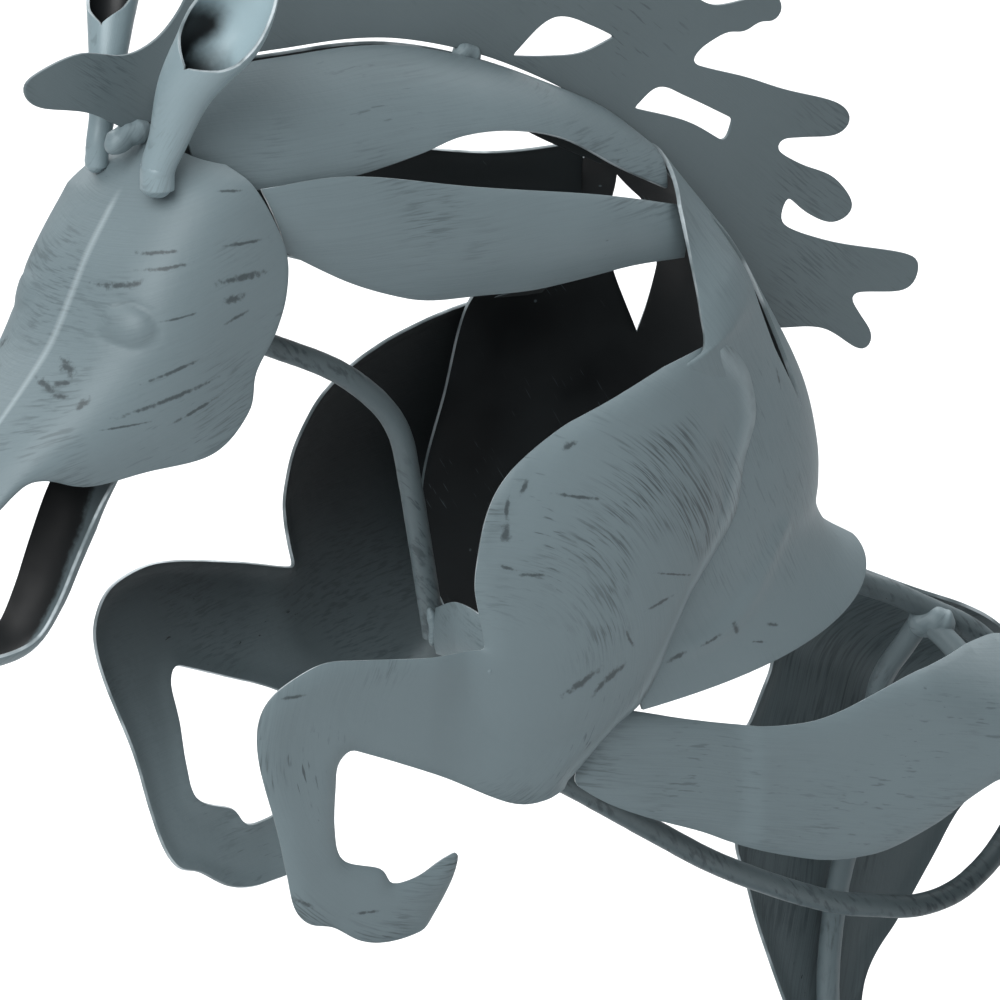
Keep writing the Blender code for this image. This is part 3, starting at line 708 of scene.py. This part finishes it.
def ear(node, side, paint):
    """A funnel rolled from sheet and turned to the front left, where it is cut away up to a point."""
    rows, columns = 81, 37
    axis = mirrored(smooth(EAR_AXIS, rows), side)
    share = np.linspace(0, 1, rows)
    radii = np.interp(share, EAR_SHARES, EAR_RADII)
    radii = np.convolve(np.pad(radii, 3, mode="edge"), np.ones(7) / 7, mode="valid")
    radii *= EAR_FULLNESS[side]
    spans = np.radians(np.interp(share, EAR_SHARES, EAR_SPAN_DEGREES))
    axis[:, 1] *= EAR_LEAN[side]
    points, dark = [], []
    for centre, way, radius, span, s in zip(axis, np.gradient(axis, axis=0), radii, spans, share):
        way = way / np.linalg.norm(way)
        back = np.array(EAR_BACK)
        back -= way * (back @ way)
        back /= np.linalg.norm(back)
        over = np.cross(way, back)
        for turn in np.linspace(-1, 1, columns):
            angle = span * turn
            points.append(centre + radius * (back * math.cos(angle) + over * math.sin(angle)))
            # Painted shade: black deep in the near ear and down one side of its mouth, and all over inside
            # the far ear.
            shaded = step(turn, *EAR_SHADE_ROUND) * step(s, *EAR_SHADE_UP)
            dark.append(max(shaded, step(s, *EAR_DEEP)) if side == LEFT else 1.0)
    away = ("away", axis.mean(axis=0))
    faces = grid_faces(rows, columns)
    sheet(node, points, faces, (paint, EAR_INSIDE_PAINTED_LIGHT), away, EAR_SHEET, dark=dark)


# Mane and tail

SPINE = [
    (-41, 407), (-24, 384), (-10, 363), (3, 342), (10, 327), (14, 311), (14.5, 301), (14, 292),
    (20.5, 282), (33, 274),
]
NECK_CREST = [
    (-217, 450.5), (-194, 455), (-171, 455), (-147, 454), (-126, 450), (-100, 441), (-72, 428),
    (-58, 420), (-46, 410),
]
MANE_LIFT = (1.1, 1.1, 1.1, 1.1, 1.1, 0.9, -0.5, -3.5, -4)
MANE_RUNS = [
    [(-219, 443), (-228, 441), (-243, 448.5), (-261, 453), (-266, 459), (-262, 463), (-246, 467),
     (-230, 464), (-219, 467), (-211, 474), (-206, 482), (-200, 492)],
    [(-192, 497), (-176, 499), (-160, 505), (-153, 509), (-150, 506), (-156, 500)],
    [(-160, 495), (-146, 493), (-130, 495), (-114, 501), (-104, 506), (-100, 503), (-105, 496)],
    [(-110, 489), (-100, 484), (-88, 484), (-72, 491), (-60, 495), (-56, 491), (-62, 485), (-76, 477)],
    [(-84, 470), (-76, 468), (-60, 472), (-44, 476), (-36, 474), (-37, 469), (-48, 463), (-56, 459)],
    [(-50, 455), (-38, 455), (-27, 451), (-18, 446), (-6, 446), (4, 446), (7, 441), (3.5, 437.5),
     (-1, 438.5), (-7, 436), (-13, 437)],
    [(-22, 434), (-26, 430), (-20, 427), (-6, 422), (8, 416), (27, 409), (32, 403), (27, 399), (16, 400)],
    [(7, 401), (5, 398), (14, 392), (26, 386), (33, 376), (26, 372), (17, 376)],
    [(9, 383), (7, 379), (8, 374), (26, 366), (53, 358), (57, 353), (52, 347), (33, 349)],
    [(35, 343), (40, 335), (36, 331), (22, 340)],
]
MANE_SLOTS = [
    [[(-91, 442), (-80, 450), (-72, 451), (-61, 446)], [(-54, 442), (-66, 439), (-79, 440)]],
    [[(-47, 419), (-38, 424), (-27, 419)], [(-11, 410), (-13, 405)], [(-15, 404), (-28, 412)]],
]


def edge_above(line, distance):
    points = np.array(line, float)
    way = np.gradient(points, axis=0)
    way /= np.linalg.norm(way, axis=1)[:, None]
    return points + np.stack([-way[:, 1], way[:, 0]], axis=1) * np.reshape(distance, (-1, 1))


def mane():
    seat = SHEET / 2 + CLEARANCE
    on_back = edge_above(SPINE[:4], (-2.0, 0.0, seat, seat + SHEET / 2))
    on_neck = edge_above(NECK_CREST, seat + np.array(MANE_LIFT))
    foot = [tuple(p) for p in on_back[::-1]] + [tuple(p) for p in on_neck[::-1]]
    outer = softened(closed_outline(MANE_RUNS + [foot], 1.4), 3)
    slots = [softened(closed_outline(slot, 1.2), 1) for slot in MANE_SLOTS]
    paint = outer_paint("mane_paint", along(-38), 3, times(GREY, 0.68), 0.6)
    flat_plate("mane", [outer] + slots, paint)


TAIL_RUNS = [
    [(114, 204), (114, 213), (118, 221), (127, 226), (140, 224), (156, 214), (172, 206), (190, 205),
     (197, 201), (193, 196), (180, 194)],
    [(170, 194), (178, 186), (190, 178), (198, 165), (196, 160), (190, 163), (178, 172)],
    [(166, 178), (174, 164), (186, 150), (190, 136), (186, 131), (180, 137), (170, 150)],
    [(160, 162), (164, 146), (166, 130), (160, 126), (154, 134), (150, 150), (142, 168), (133, 184),
     (124, 197)],
]


def tail():
    paint = outer_paint("tail_paint", along(-40), 4, times(GREY, 0.68), 0.6)
    flat_plate("tail", [softened(closed_outline(TAIL_RUNS, 1.4), 3)], paint)


# Neck

CREST_Y = SHEET / 2 + CLEARANCE + SHEET
CREST_FOOT = [
    (-213, -12, 428), (-198, -18, 422), (-184, -22, 422), (-165, -24, 422), (-141, -24, 425),
    (-126, -24, 428), (-108, -24, 427), (-88, -23, 421), (-66, -20, 408), (-47, -17, 398),
]
CREST_RISE = (3, 4, 4, 3)
NECK_SIDE_TOP = [(-198, -24, 423.5), (-168, -28, 423.5), (-125, -31, 414), (-80, -29, 404)]
NECK_SIDE_TOP_END = {LEFT: (-47, -22, 394), RIGHT: (-49, -22, 404)}
NECK_SIDE_FOOT = [
    (-187, -21, 402), (-166, -22, 390), (-149, -23, 383), (-137, -24, 380), (-120, -25, 379),
    (-102, -26, 378), (-84, -27, 379), (-66, -27, 380), (-47, -26, 379),
]
NECK_SIDE_RISE = (3, 5, 6, 5, 2)


def neck():
    for side, name in ((LEFT, "left"), (RIGHT, "right")):
        crest = in_middle(NECK_CREST) - (0, CREST_Y, 0)
        paint = outer_paint(name + "_crest_paint", along(0), 5 + side)
        materials = (paint, INSIDE_NECK)
        lofted_strip(name + "_neck_crest", crest, CREST_FOOT, CREST_RISE, side, materials,
                     ("direction", (0, -1, 0.3)))
        top = NECK_SIDE_TOP + [NECK_SIDE_TOP_END[side]]
        lofted_strip(name + "_neck_side", top, NECK_SIDE_FOOT, NECK_SIDE_RISE, side, materials,
                     ("direction", (0, -1, 0)))


# Body

RIB_FRONT = {
    LEFT: [(-50, -28, 396), (-50, -34, 380), (-51, -40, 366), (-53, -44, 355), (-66, -46, 349),
           (-78, -47, 333), (-86, -48, 303), (-85, -47, 274), (-76, -46, 249)],
    RIGHT: [(-50, -28, 396), (-54, -36, 378), (-64, -42, 364), (-75, -46, 352), (-82.5, -47, 326),
            (-90, -48, 298), (-88, -47, 272), (-77, -46, 249)],
}
RIB_LOBE = 8.0
RIB_LOBE_START = 0.6
RIB_FRONT_FLATNESS = 0.55
RIB_FRONT_SHARE = 0.2
RIB_CENTRE = (-60, 0, 300)
FLANK_FOLD = ((676, 640), (700, 633), (728, 616), (752, 588), (770, 562), (790, 532))
FOLD_DEPTH = -40
FOLD_RISE = 1.3
FOLD_WIDTH = 3.0
FLANK_MARKS = (
    (724, 364, 724, 368, 7), (690, 641, 712, 630, 3), (727, 622, 731, 628, 6), (768, 624, 780, 626, 3),
    (750, 640, 762, 641, 2), (660, 655, 672, 648, 5), (795, 380, 798, 398, 3),
)
# Each dart along the back: how far along, the angle of its middle and half its width in degrees.
DARTS = {
    LEFT: ((0.12, 0.20, 0.30, 0.45, 0.60), (35, 34.5, 34, 33.5, 31.5), (0, 5.0, 5.2, 3.4, 0)),
    RIGHT: ((0.078, 0.16, 0.25, 0.34, 0.49), (46, 40.5, 39.5, 40, 45), (0, 8.3, 9.5, 7, 0)),
}


def rib_points(side):
    """The half of the bent sheet on one side, in two strips with the dart between them."""
    rows, columns = 129, 25
    spine = in_middle(smooth(SPINE, rows))
    front = smooth(RIB_FRONT[side], rows)
    share = np.linspace(0, 1, rows)
    low_share = step(share, RIB_LOBE_START, 1) ** 2
    fullness = 1 - RIB_FRONT_FLATNESS * step(share, RIB_FRONT_SHARE, 0)
    along_dart, middles, halves = DARTS[side]
    middle = np.interp(share, along_dart, middles)
    half = np.interp(share, along_dart, halves)
    points, faces = [], []
    for begin, end in ((np.zeros(rows), middle - half), (middle + half, np.full(rows, 90.0))):
        first = len(points)
        for back, edge, low, full, a, b in zip(spine, front, low_share, fullness, begin, end):
            for angle in np.radians(np.linspace(a, b, columns)):
                bend = 1 - math.cos(angle)
                place = back + (edge - back) * bend
                place[1] = side * abs(edge[1]) * (math.sin(angle) * full + bend * (1 - full))
                place[2] -= RIB_LOBE * low * math.sin(2 * angle)
                points.append(place)
        faces.extend(grid_faces(rows, columns, first))
    points = np.array(points)
    fold = [on_statue(u, v, FOLD_DEPTH) for u, v in FLANK_FOLD]
    points[:, 1] += side * FOLD_RISE * np.exp(-(distance_to(points[:, [0, 2]], fold) / FOLD_WIDTH) ** 2)
    return points, faces


def rib_cage():
    """One sheet bent over the back, with a dart on each side."""
    left, faces = rib_points(LEFT)
    right, more = rib_points(RIGHT)
    faces = faces + [tuple(i + len(left) for i in face) for face in more]
    paint = outer_paint("rib_cage_paint", along(-60), 7, streaks=0.3, spots=FLANK_MARKS, depth=-42)
    sheet("rib_cage", np.vstack([left, right]), faces, (paint, INSIDE), ("away", RIB_CENTRE))


# Shoulders and forelegs

ELBOW = (-140, 262)
SHOULDER_CENTRE = (-100, 300)
SHOULDER_Y = -54.0
SHOULDER_RADII = (170, 420)
DOME_CENTRE = (-94, 300)
DOME_REACH = (60, 39)
DOME_TILT = math.radians(54)
DOME_RISE = 4.5
SHOULDER_MARKS = (
    (564, 449, 573, 444, 5), (524, 494, 529, 484, 4), (513, 503, 510, 520, 4), (510, 526, 508, 541, 7),
    (504, 566, 512, 568, 3), (520, 573, 536, 572, 3), (564, 689, 591, 667, 7), (592, 690, 600, 676, 6),
    (600, 678, 617, 663, 7), (618, 627, 627, 643, 3), (640, 606, 668, 594, 3), (552, 493, 590, 496, 3),
    (650, 570, 690, 575, 2), (330, 905, 345, 912, 4), (385, 920, 410, 917, 3), (300, 700, 318, 696, 3),
)
HOOF_BACK = [(-138, 214.5), (-144, 212), (-151, 208.5), (-161, 207.5), (-165, 213)]
LEFT_FORELEG_RUNS = [
    [(-52, 355.5), (-72, 352.5), (-91, 347.5), (-108, 342), (-121, 335), (-129, 328), (-135, 318),
     (-138, 307), (-139, 298), (-137, 287)],
    [(-135, 278), (-156, 279), (-180, 282), (-192, 283), (-203, 279), (-210, 274), (-213, 266), (-211, 253),
     (-203, 232), (-198, 217), (-194, 205), (-188, 199), (-180, 197), (-170, 191), (-160, 189)],
    [(-147, 190.5), (-141.5, 200), (-138.5, 208)],
    HOOF_BACK + [(-179, 218), (-183, 229), (-184, 242), (-184, 250)],
    [(-180, 254), (-163, 247), (-145, 239), (-123, 228), (-111, 227), (-102, 231), (-89, 242), (-79, 250),
     (-73, 257), (-66, 270), (-59, 282), (-50, 292), (-40, 304), (-36.5, 318), (-30, 331), (-33, 345),
     (-43, 355)],
]
RIGHT_FORELEG_RUNS = [
    LEFT_FORELEG_RUNS[0],
    [(-135, 280), (-156, 285), (-177, 289), (-190, 289.5), (-203, 285.5), (-209, 278), (-210.5, 270),
     (-208, 258), (-200, 236), (-196, 219), (-192, 206), (-187, 199), (-180, 197), (-170, 191),
     (-160, 189)],
    LEFT_FORELEG_RUNS[2],
    HOOF_BACK + [(-178, 218), (-181, 229), (-182, 242), (-184, 254)],
    [(-182, 259), (-163, 252), (-145, 245), (-123, 232)] + LEFT_FORELEG_RUNS[4][4:],
]
SHOULDER_REAR = LEFT_FORELEG_RUNS[4][5:]
REAR_ROLL = 8.0
REAR_LIFT = 0.2
RIB_BLUR = 1.6
OFF_RIBS = (2, 8)
RIDGE_INSET = 3.2
RIDGE_WIDTH = 1.9
RIDGE_RISE = 1.0
# How much paler the ridge's crest is painted: a painted highlight.
RIDGE_HIGHLIGHT = 0.28
# The leg below the knee: its depth at the knee, and how that changes forwards and upwards.
KNEE = (-214, 263)
KNEE_DEPTH = 45
LEG_LEAN = (0.06, 0.16)
LEG_TO_SHOULDER = (-155, -130)
EDGE_ROLL = 6.0
EDGE_ROLL_DEPTH = 1.8


def flank_depth(flat):
    """The depth of the rib cage, or of the flank band below it, behind each point of the shoulder."""
    ribs, _ = rib_points(LEFT)
    low = haunch_depth(flat, np.full(len(flat), EDGE_ROLL))
    depth = []
    for point, below in zip(flat, low):
        away = np.hypot(ribs[:, 0] - point[0], ribs[:, 2] - point[1])
        weight = np.exp(-((away - away.min()) / RIB_BLUR) ** 2)
        on_ribs = weight @ ribs[:, 1] / weight.sum()
        depth.append(on_ribs + (below - on_ribs) * step(away.min(), *OFF_RIBS))
    return np.array(depth)


def foreleg_depth(flat, from_edge):
    """A domed shoulder whose rear edge rolls in to the flank, and a leg that leans inwards."""
    x, z = flat[:, 0], flat[:, 1]
    centre_x, centre_z = SHOULDER_CENTRE
    shoulder = SHOULDER_Y + (x - centre_x) ** 2 / (2 * SHOULDER_RADII[0])
    shoulder += (z - centre_z) ** 2 / (2 * SHOULDER_RADII[1])
    dome_x, dome_z = x - DOME_CENTRE[0], z - DOME_CENTRE[1]
    lengthwise = (dome_x * math.cos(DOME_TILT) + dome_z * math.sin(DOME_TILT)) / DOME_REACH[0]
    crosswise = (dome_x * math.sin(DOME_TILT) - dome_z * math.cos(DOME_TILT)) / DOME_REACH[1]
    shoulder -= DOME_RISE * np.clip(1 - lengthwise**2 - crosswise**2, 0, 1) ** 0.75
    leg = -(KNEE_DEPTH + LEG_LEAN[0] * (x - KNEE[0]) + LEG_LEAN[1] * (z - KNEE[1]))
    blend = step(x, *LEG_TO_SHOULDER)
    blend = blend * blend * (3 - 2 * blend)
    y = leg + (shoulder - leg) * blend
    y += EDGE_ROLL_DEPTH * step(from_edge, EDGE_ROLL, 0) ** 2
    from_rear = distance_to(flat, SHOULDER_REAR)
    rolled = from_rear < REAR_ROLL
    share = (1 - from_rear[rolled] / REAR_ROLL) ** 1.3
    y[rolled] += (flank_depth(flat[rolled]) - REAR_LIFT - y[rolled]) * share
    return y - RIDGE_RISE * ridge(flat)


def ridge(flat):
    """How near each point is to the crest of the ridge along the shoulder's rear edge."""
    return np.exp(-((distance_to(flat, SHOULDER_REAR) - RIDGE_INSET) / RIDGE_WIDTH) ** 2)


# Painted highlight along the ridge's crest.
def ridge_highlight(flat):
    return RIDGE_HIGHLIGHT * ridge(flat)


def forelegs():
    near = outer_paint("near_foreleg_paint", ELBOW, 8, streaks=0.95, patches=(0.42, 0.60),
                       spots=SHOULDER_MARKS, depth=SHOULDER_Y)
    far = outer_paint("far_foreleg_paint", ELBOW, 9, streaks=0.7)
    for name, runs, side, paint in (("left", LEFT_FORELEG_RUNS, LEFT, near),
                                    ("right", RIGHT_FORELEG_RUNS, RIGHT, far)):
        pressed_plate(name + "_shoulder_and_foreleg", runs, foreleg_depth, side,
                      (paint, INSIDE_LEG), ridge_highlight)


# Haunches and hind legs

RUMP_LINE = [(-120, 300), (0, 272), (38, 265), (60, 253), (79, 244), (92, 235), (118, 216), (165, 160)]
HIND_STEP = 29
HAUNCH_REACH = 35.0
HAUNCH_ROUNDING = 2.2
# Half the width of the haunches over the height, and its limit along the flank.
HAUNCH_WIDTHS = ((0, 60, 114, 160, 205, 300), (37, 38, 40, 45, 48, 48))
FLANK_WIDTHS = ((-100, -40, 0), (43.5, 45.5, 60))
LEFT_HAUNCH_RUNS = [
    [(-92, 252), (-74, 247), (-57, 242), (-36, 237), (-18, 235), (-6, 236), (10, 240), (26, 243),
     (41, 243.5), (59, 242.5), (78, 239), (94, 230), (110, 216)],
    [(113, 212), (123, 200), (128, 187), (125, 172), (116, 155), (105, 138), (97, 122), (94, 108), (97, 96),
     (101, 88)],
    [(101, 85), (95, 74), (91, 60), (89, 45), (88, 34), (90, 28), (89, 21), (93, 13)],
    [(96, 5.6)],
    [(62, 5.6), (67, 13), (75, 22), (76, 30), (76, 40), (78, 55), (80, 70), (79, 82), (76, 92), (72, 105),
     (69, 119), (65, 141), (61, 162), (59, 180), (61, 195), (60, 204)],
    [(54, 206), (44, 202), (32, 196), (16, 191), (6, 190), (-8, 191), (-23, 195), (-40, 201), (-53, 207),
     (-71, 214), (-86, 221)],
    [(-98, 229)],
]


def one_step_on(run):
    """The far hind hoof's outline is the near one's, a step further forward."""
    return [(x - HIND_STEP, z) for x, z in run]


RIGHT_HAUNCH_RUNS = [
    [(-92, 246), (-78, 240), (-50, 228), (-20, 211), (8, 205), (20, 203)],
    [(28, 204), (33, 214), (37, 224), (36, 240), (34, 256)],
    [(38, 262), (60, 251.5), (79, 243), (92, 234), (112, 216)],
    [(116, 212), (126, 200), (128, 188), (120, 176), (105, 167), (95, 155), (85, 143), (78, 135), (71, 128),
     (66, 120), (64, 110), (66, 98), (71, 88)],
    [(71, 85)] + one_step_on(LEFT_HAUNCH_RUNS[2][1:]),
    one_step_on(LEFT_HAUNCH_RUNS[3]),
    one_step_on(LEFT_HAUNCH_RUNS[4][:8]) + [(46, 93), (41, 105), (36, 119), (32, 131), (28, 144), (25, 157),
                                            (22, 167)],
    [(22, 172), (10, 177), (-8, 184), (-28, 194), (-50, 203), (-72, 211), (-86, 216)],
    [(-96, 223)],
]


def haunch_depth(flat, from_edge):
    """Round over the rump, full at the thigh and leaning inwards down the leg."""
    x, z = flat[:, 0], flat[:, 1]
    width = np.minimum(np.interp(z, *HAUNCH_WIDTHS), np.interp(x, *FLANK_WIDTHS))
    reach = step(distance_to(flat, RUMP_LINE), 0, HAUNCH_REACH)
    least = SHEET + 1.5 * CLEARANCE
    y = -least - (width - least) * (1 - (1 - reach) ** HAUNCH_ROUNDING)
    return y + EDGE_ROLL_DEPTH * step(from_edge, EDGE_ROLL, 0) ** 2 * reach


def haunches():
    near = outer_paint("near_haunch_paint", along(-10), 10)
    far = outer_paint("far_haunch_paint", along(-10), 11)
    for name, runs, side, paint in (("left", LEFT_HAUNCH_RUNS, LEFT, near),
                                    ("right", RIGHT_HAUNCH_RUNS, RIGHT, far)):
        pressed_plate(name + "_haunch_and_hind_leg", runs, haunch_depth, side,
                      (paint, INSIDE_HAUNCH))


# Rods, tab and welds

CHEST_ROD = in_middle([
    (-222, 384), (-200, 377), (-178, 367), (-159, 358), (-148, 351), (-137, 341), (-131, 331),
    (-128, 318), (-125, 302), (-122, 285), (-119, 268),
])
BELLY_ROD = in_middle([
    (-113, 256), (-103, 240), (-86, 224), (-64, 210), (-39, 194), (-18, 181), (4, 170), (26, 161),
    (42, 157), (57, 154.5), (70, 156), (80, 161), (89, 169), (98, 182), (103, 197), (104, 208),
])
SPINE_ROD = in_middle([
    (-3, 306), (2, 290), (14, 273), (33, 260.5), (47, 254), (60, 247), (76, 238), (90, 226),
])
RIGHT_LEG_ROD = [
    (60, 1, 244), (57, 5, 236), (54, 14, 222), (60, 28, 200), (62, 36, 178), (55, 38, 150),
    (50, 35.5, 118), (55, 34, 90), (56, 33, 60), (53, 32.5, 30), (51, 32, 8),
]
LEFT_LEG_ROD = [
    (60, -1, 243), (64, -7, 237), (72, -20, 222), (84, -35, 195), (88, -39, 168), (84, -38, 142),
    (81, -35, 114), (88, -34, 88), (85, -33, 60), (82, -32.5, 30), (80, -32, 8),
]


def rods():
    dark_paint = outer_paint("rod_paint", along(-50), 12, times(GREY, 0.68), 0.9, 0.9, (0.38, 0.52),
                             stroke=(5, 1.6), fine=0.05)
    leg_paint = outer_paint("leg_rod_paint", along(80), 17, times(GREY, 0.9), 0.7, 0.6,
                            stroke=(7, 1.0), fine=0.05)
    for name, route, paint in (
        ("chest_rod", CHEST_ROD, dark_paint), ("belly_rod", BELLY_ROD, dark_paint),
        ("spine_rod", SPINE_ROD, dark_paint), ("right_leg_rod", RIGHT_LEG_ROD, leg_paint),
        ("left_leg_rod", LEFT_LEG_ROD, leg_paint),
    ):
        tube(name + "_bar", route, ROD, paint, name, 110, 0.02, len(name))


TAB_TOP = [(-125, -20, 284), (-130, -38, 286), (-132, -50, 284)]
TAB_FOOT = [(-125, -20, 266), (-131, -38, 268), (-134, -49.5, 270)]
TAB_ON_ROD = (-121, 278, 264)
TAB_RISE = (1, 2, 1)


def chest_tab():
    inner = ROD + SHEET / 2 + CLEARANCE
    x, high, low = TAB_ON_ROD
    paint = outer_paint("tab_paint", along(10), 13)
    top, foot = [(x, -inner, high)] + TAB_TOP, [(x, -inner, low)] + TAB_FOOT
    lofted_strip("chest_tab", top, foot, TAB_RISE, LEFT, (paint, INSIDE_NECK),
                 ("direction", (-1, 0, 0)), 25, 11, (-1, 0, 0))


# Weld beads: the middle line and the radius.
WELDS = (
    ("mane_weld", [(-112, 0, 445), (-108, 0, 445.5), (-103, 0, 443)], 3.0),
    ("spine_rod_weld", [(67, -5, 240), (61, -1, 243), (57, 3, 240)], 4.9),
    ("left_ear_weld", [(-229.3, -17, 437), (-230, -17, 430), (-229.5, -17, 424.5)], 5.0),
    ("right_ear_weld", [(-229.3, 14.5, 435), (-230, 14.5, 429), (-229, 14.5, 425)], 3.4),
    ("forelock_weld", [(-236, 0, 435.5), (-230, 0, 439), (-221, 0, 441)], 3.8),
    ("tab_weld", [(-134, -50, 270), (-135, -51, 273)], 1.2),
    ("tab_rod_weld", [(-122, -3, 266), (-122, -4, 272), (-123, -3, 278)], 1.5),
)


def welds(ear_paint):
    bead_paint = outer_paint("weld_paint", along(40), 14, times(GREY, 1.1), 0.3, 0.2)
    for seed, (name, route, radius) in enumerate(WELDS):
        paint = ear_paint if "ear" in name else bead_paint
        tube(name, route, radius, paint, None, 40, 0.1, seed, taper=0.85)


# Base plate

def base():
    paint = outer_paint("base_paint_brushed", along(0), 15, streaks=0.6)
    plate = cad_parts["base_plate"]
    plate.data.materials.clear()
    plate.data.materials.append(paint)
    rounded(plate, 0.6, 3)


# Floor, light and camera

FLOOR_SIZE = 40
FLOOR_COLOUR = (0.66, 0.665, 0.67, 1)
FLOOR_ROUGHNESS = 0.75
SKY_COLOUR = (0.96, 0.98, 1.0, 1)
SKY_STRENGTH = 0.36
SENSOR_WIDTH = 36
CLIP = (1.0, 60.0)
STATUE_MIDDLE = (-0.06, 0, 0.3)
# Square lamps: where each stands, what it looks at, its size and its power in watts.
LAMPS = (
    ("key", (-1.6, -0.8, 1.6), STATUE_MIDDLE, 1.5, 56),
    ("fill", (0.7, -1.6, 0.6), STATUE_MIDDLE, 1.2, 3),
    ("rim", (-0.3, 1.5, 1.3), STATUE_MIDDLE, 0.8, 8),
    ("backdrop", (0.7, 1.05, 1.6), (0.6, 0.95, 0), 2.4, 70),
)


def lay_floor():
    mesh = bpy.data.meshes.new("floor")
    work = bmesh.new()
    bmesh.ops.create_grid(work, x_segments=1, y_segments=1, size=FLOOR_SIZE)
    work.to_mesh(mesh)
    work.free()
    mesh.materials.append(Surface("floor_white").finished(FLOOR_COLOUR, FLOOR_ROUGHNESS))
    floor = placed("floor", mesh)


def light():
    world = bpy.data.worlds.new("studio")
    bpy.context.scene.world = world
    world.use_nodes = True
    sky = world.node_tree.nodes["Background"]
    sky.inputs[0].default_value = SKY_COLOUR
    sky.inputs[1].default_value = SKY_STRENGTH
    for name, place, target, size, power in LAMPS:
        lamp = bpy.data.lights.new(name, "AREA")
        lamp.size = size
        lamp.energy = power
        holder = placed(name, lamp)
        holder.location = place
        aim = Vector(target) - Vector(place)
        holder.rotation_euler = aim.to_track_quat("-Z", "Y").to_euler()


def camera():
    lens = bpy.data.cameras.new("camera")
    lens.sensor_width = SENSOR_WIDTH
    lens.lens = SENSOR_WIDTH * CAMERA_DISTANCE / PICTURE_WIDTH
    lens.clip_start, lens.clip_end = CLIP
    level = math.cos(CAMERA_ELEVATION)
    back = Vector((math.sin(CAMERA_AZIMUTH) * level, -math.cos(CAMERA_AZIMUTH) * level,
                   math.sin(CAMERA_ELEVATION)))
    right = Vector((math.cos(CAMERA_AZIMUTH), math.sin(CAMERA_AZIMUTH), 0))
    up = back.cross(right)
    holder = placed("camera", lens)
    holder.location = right * PICTURE_CENTRE[0] + up * PICTURE_CENTRE[1] + back * CAMERA_DISTANCE
    holder.rotation_euler = (-back).to_track_quat("-Z", "Y").to_euler()
    bpy.context.scene.camera = holder
    bpy.context.scene.view_settings.view_transform = "Standard"


head()
lower_jaw()
ears_paint = outer_paint("ear_paint", along(70), 16, times(GREY, 1.5), 0.25, 0.3, fine=0.03, gloss=0.32)
ear("left_ear", LEFT, ears_paint)
ear("right_ear", RIGHT, ears_paint)
mane()
tail()
neck()
rib_cage()
forelegs()
haunches()
rods()
chest_tab()
welds(ears_paint)
base()
lay_floor()
light()
camera()
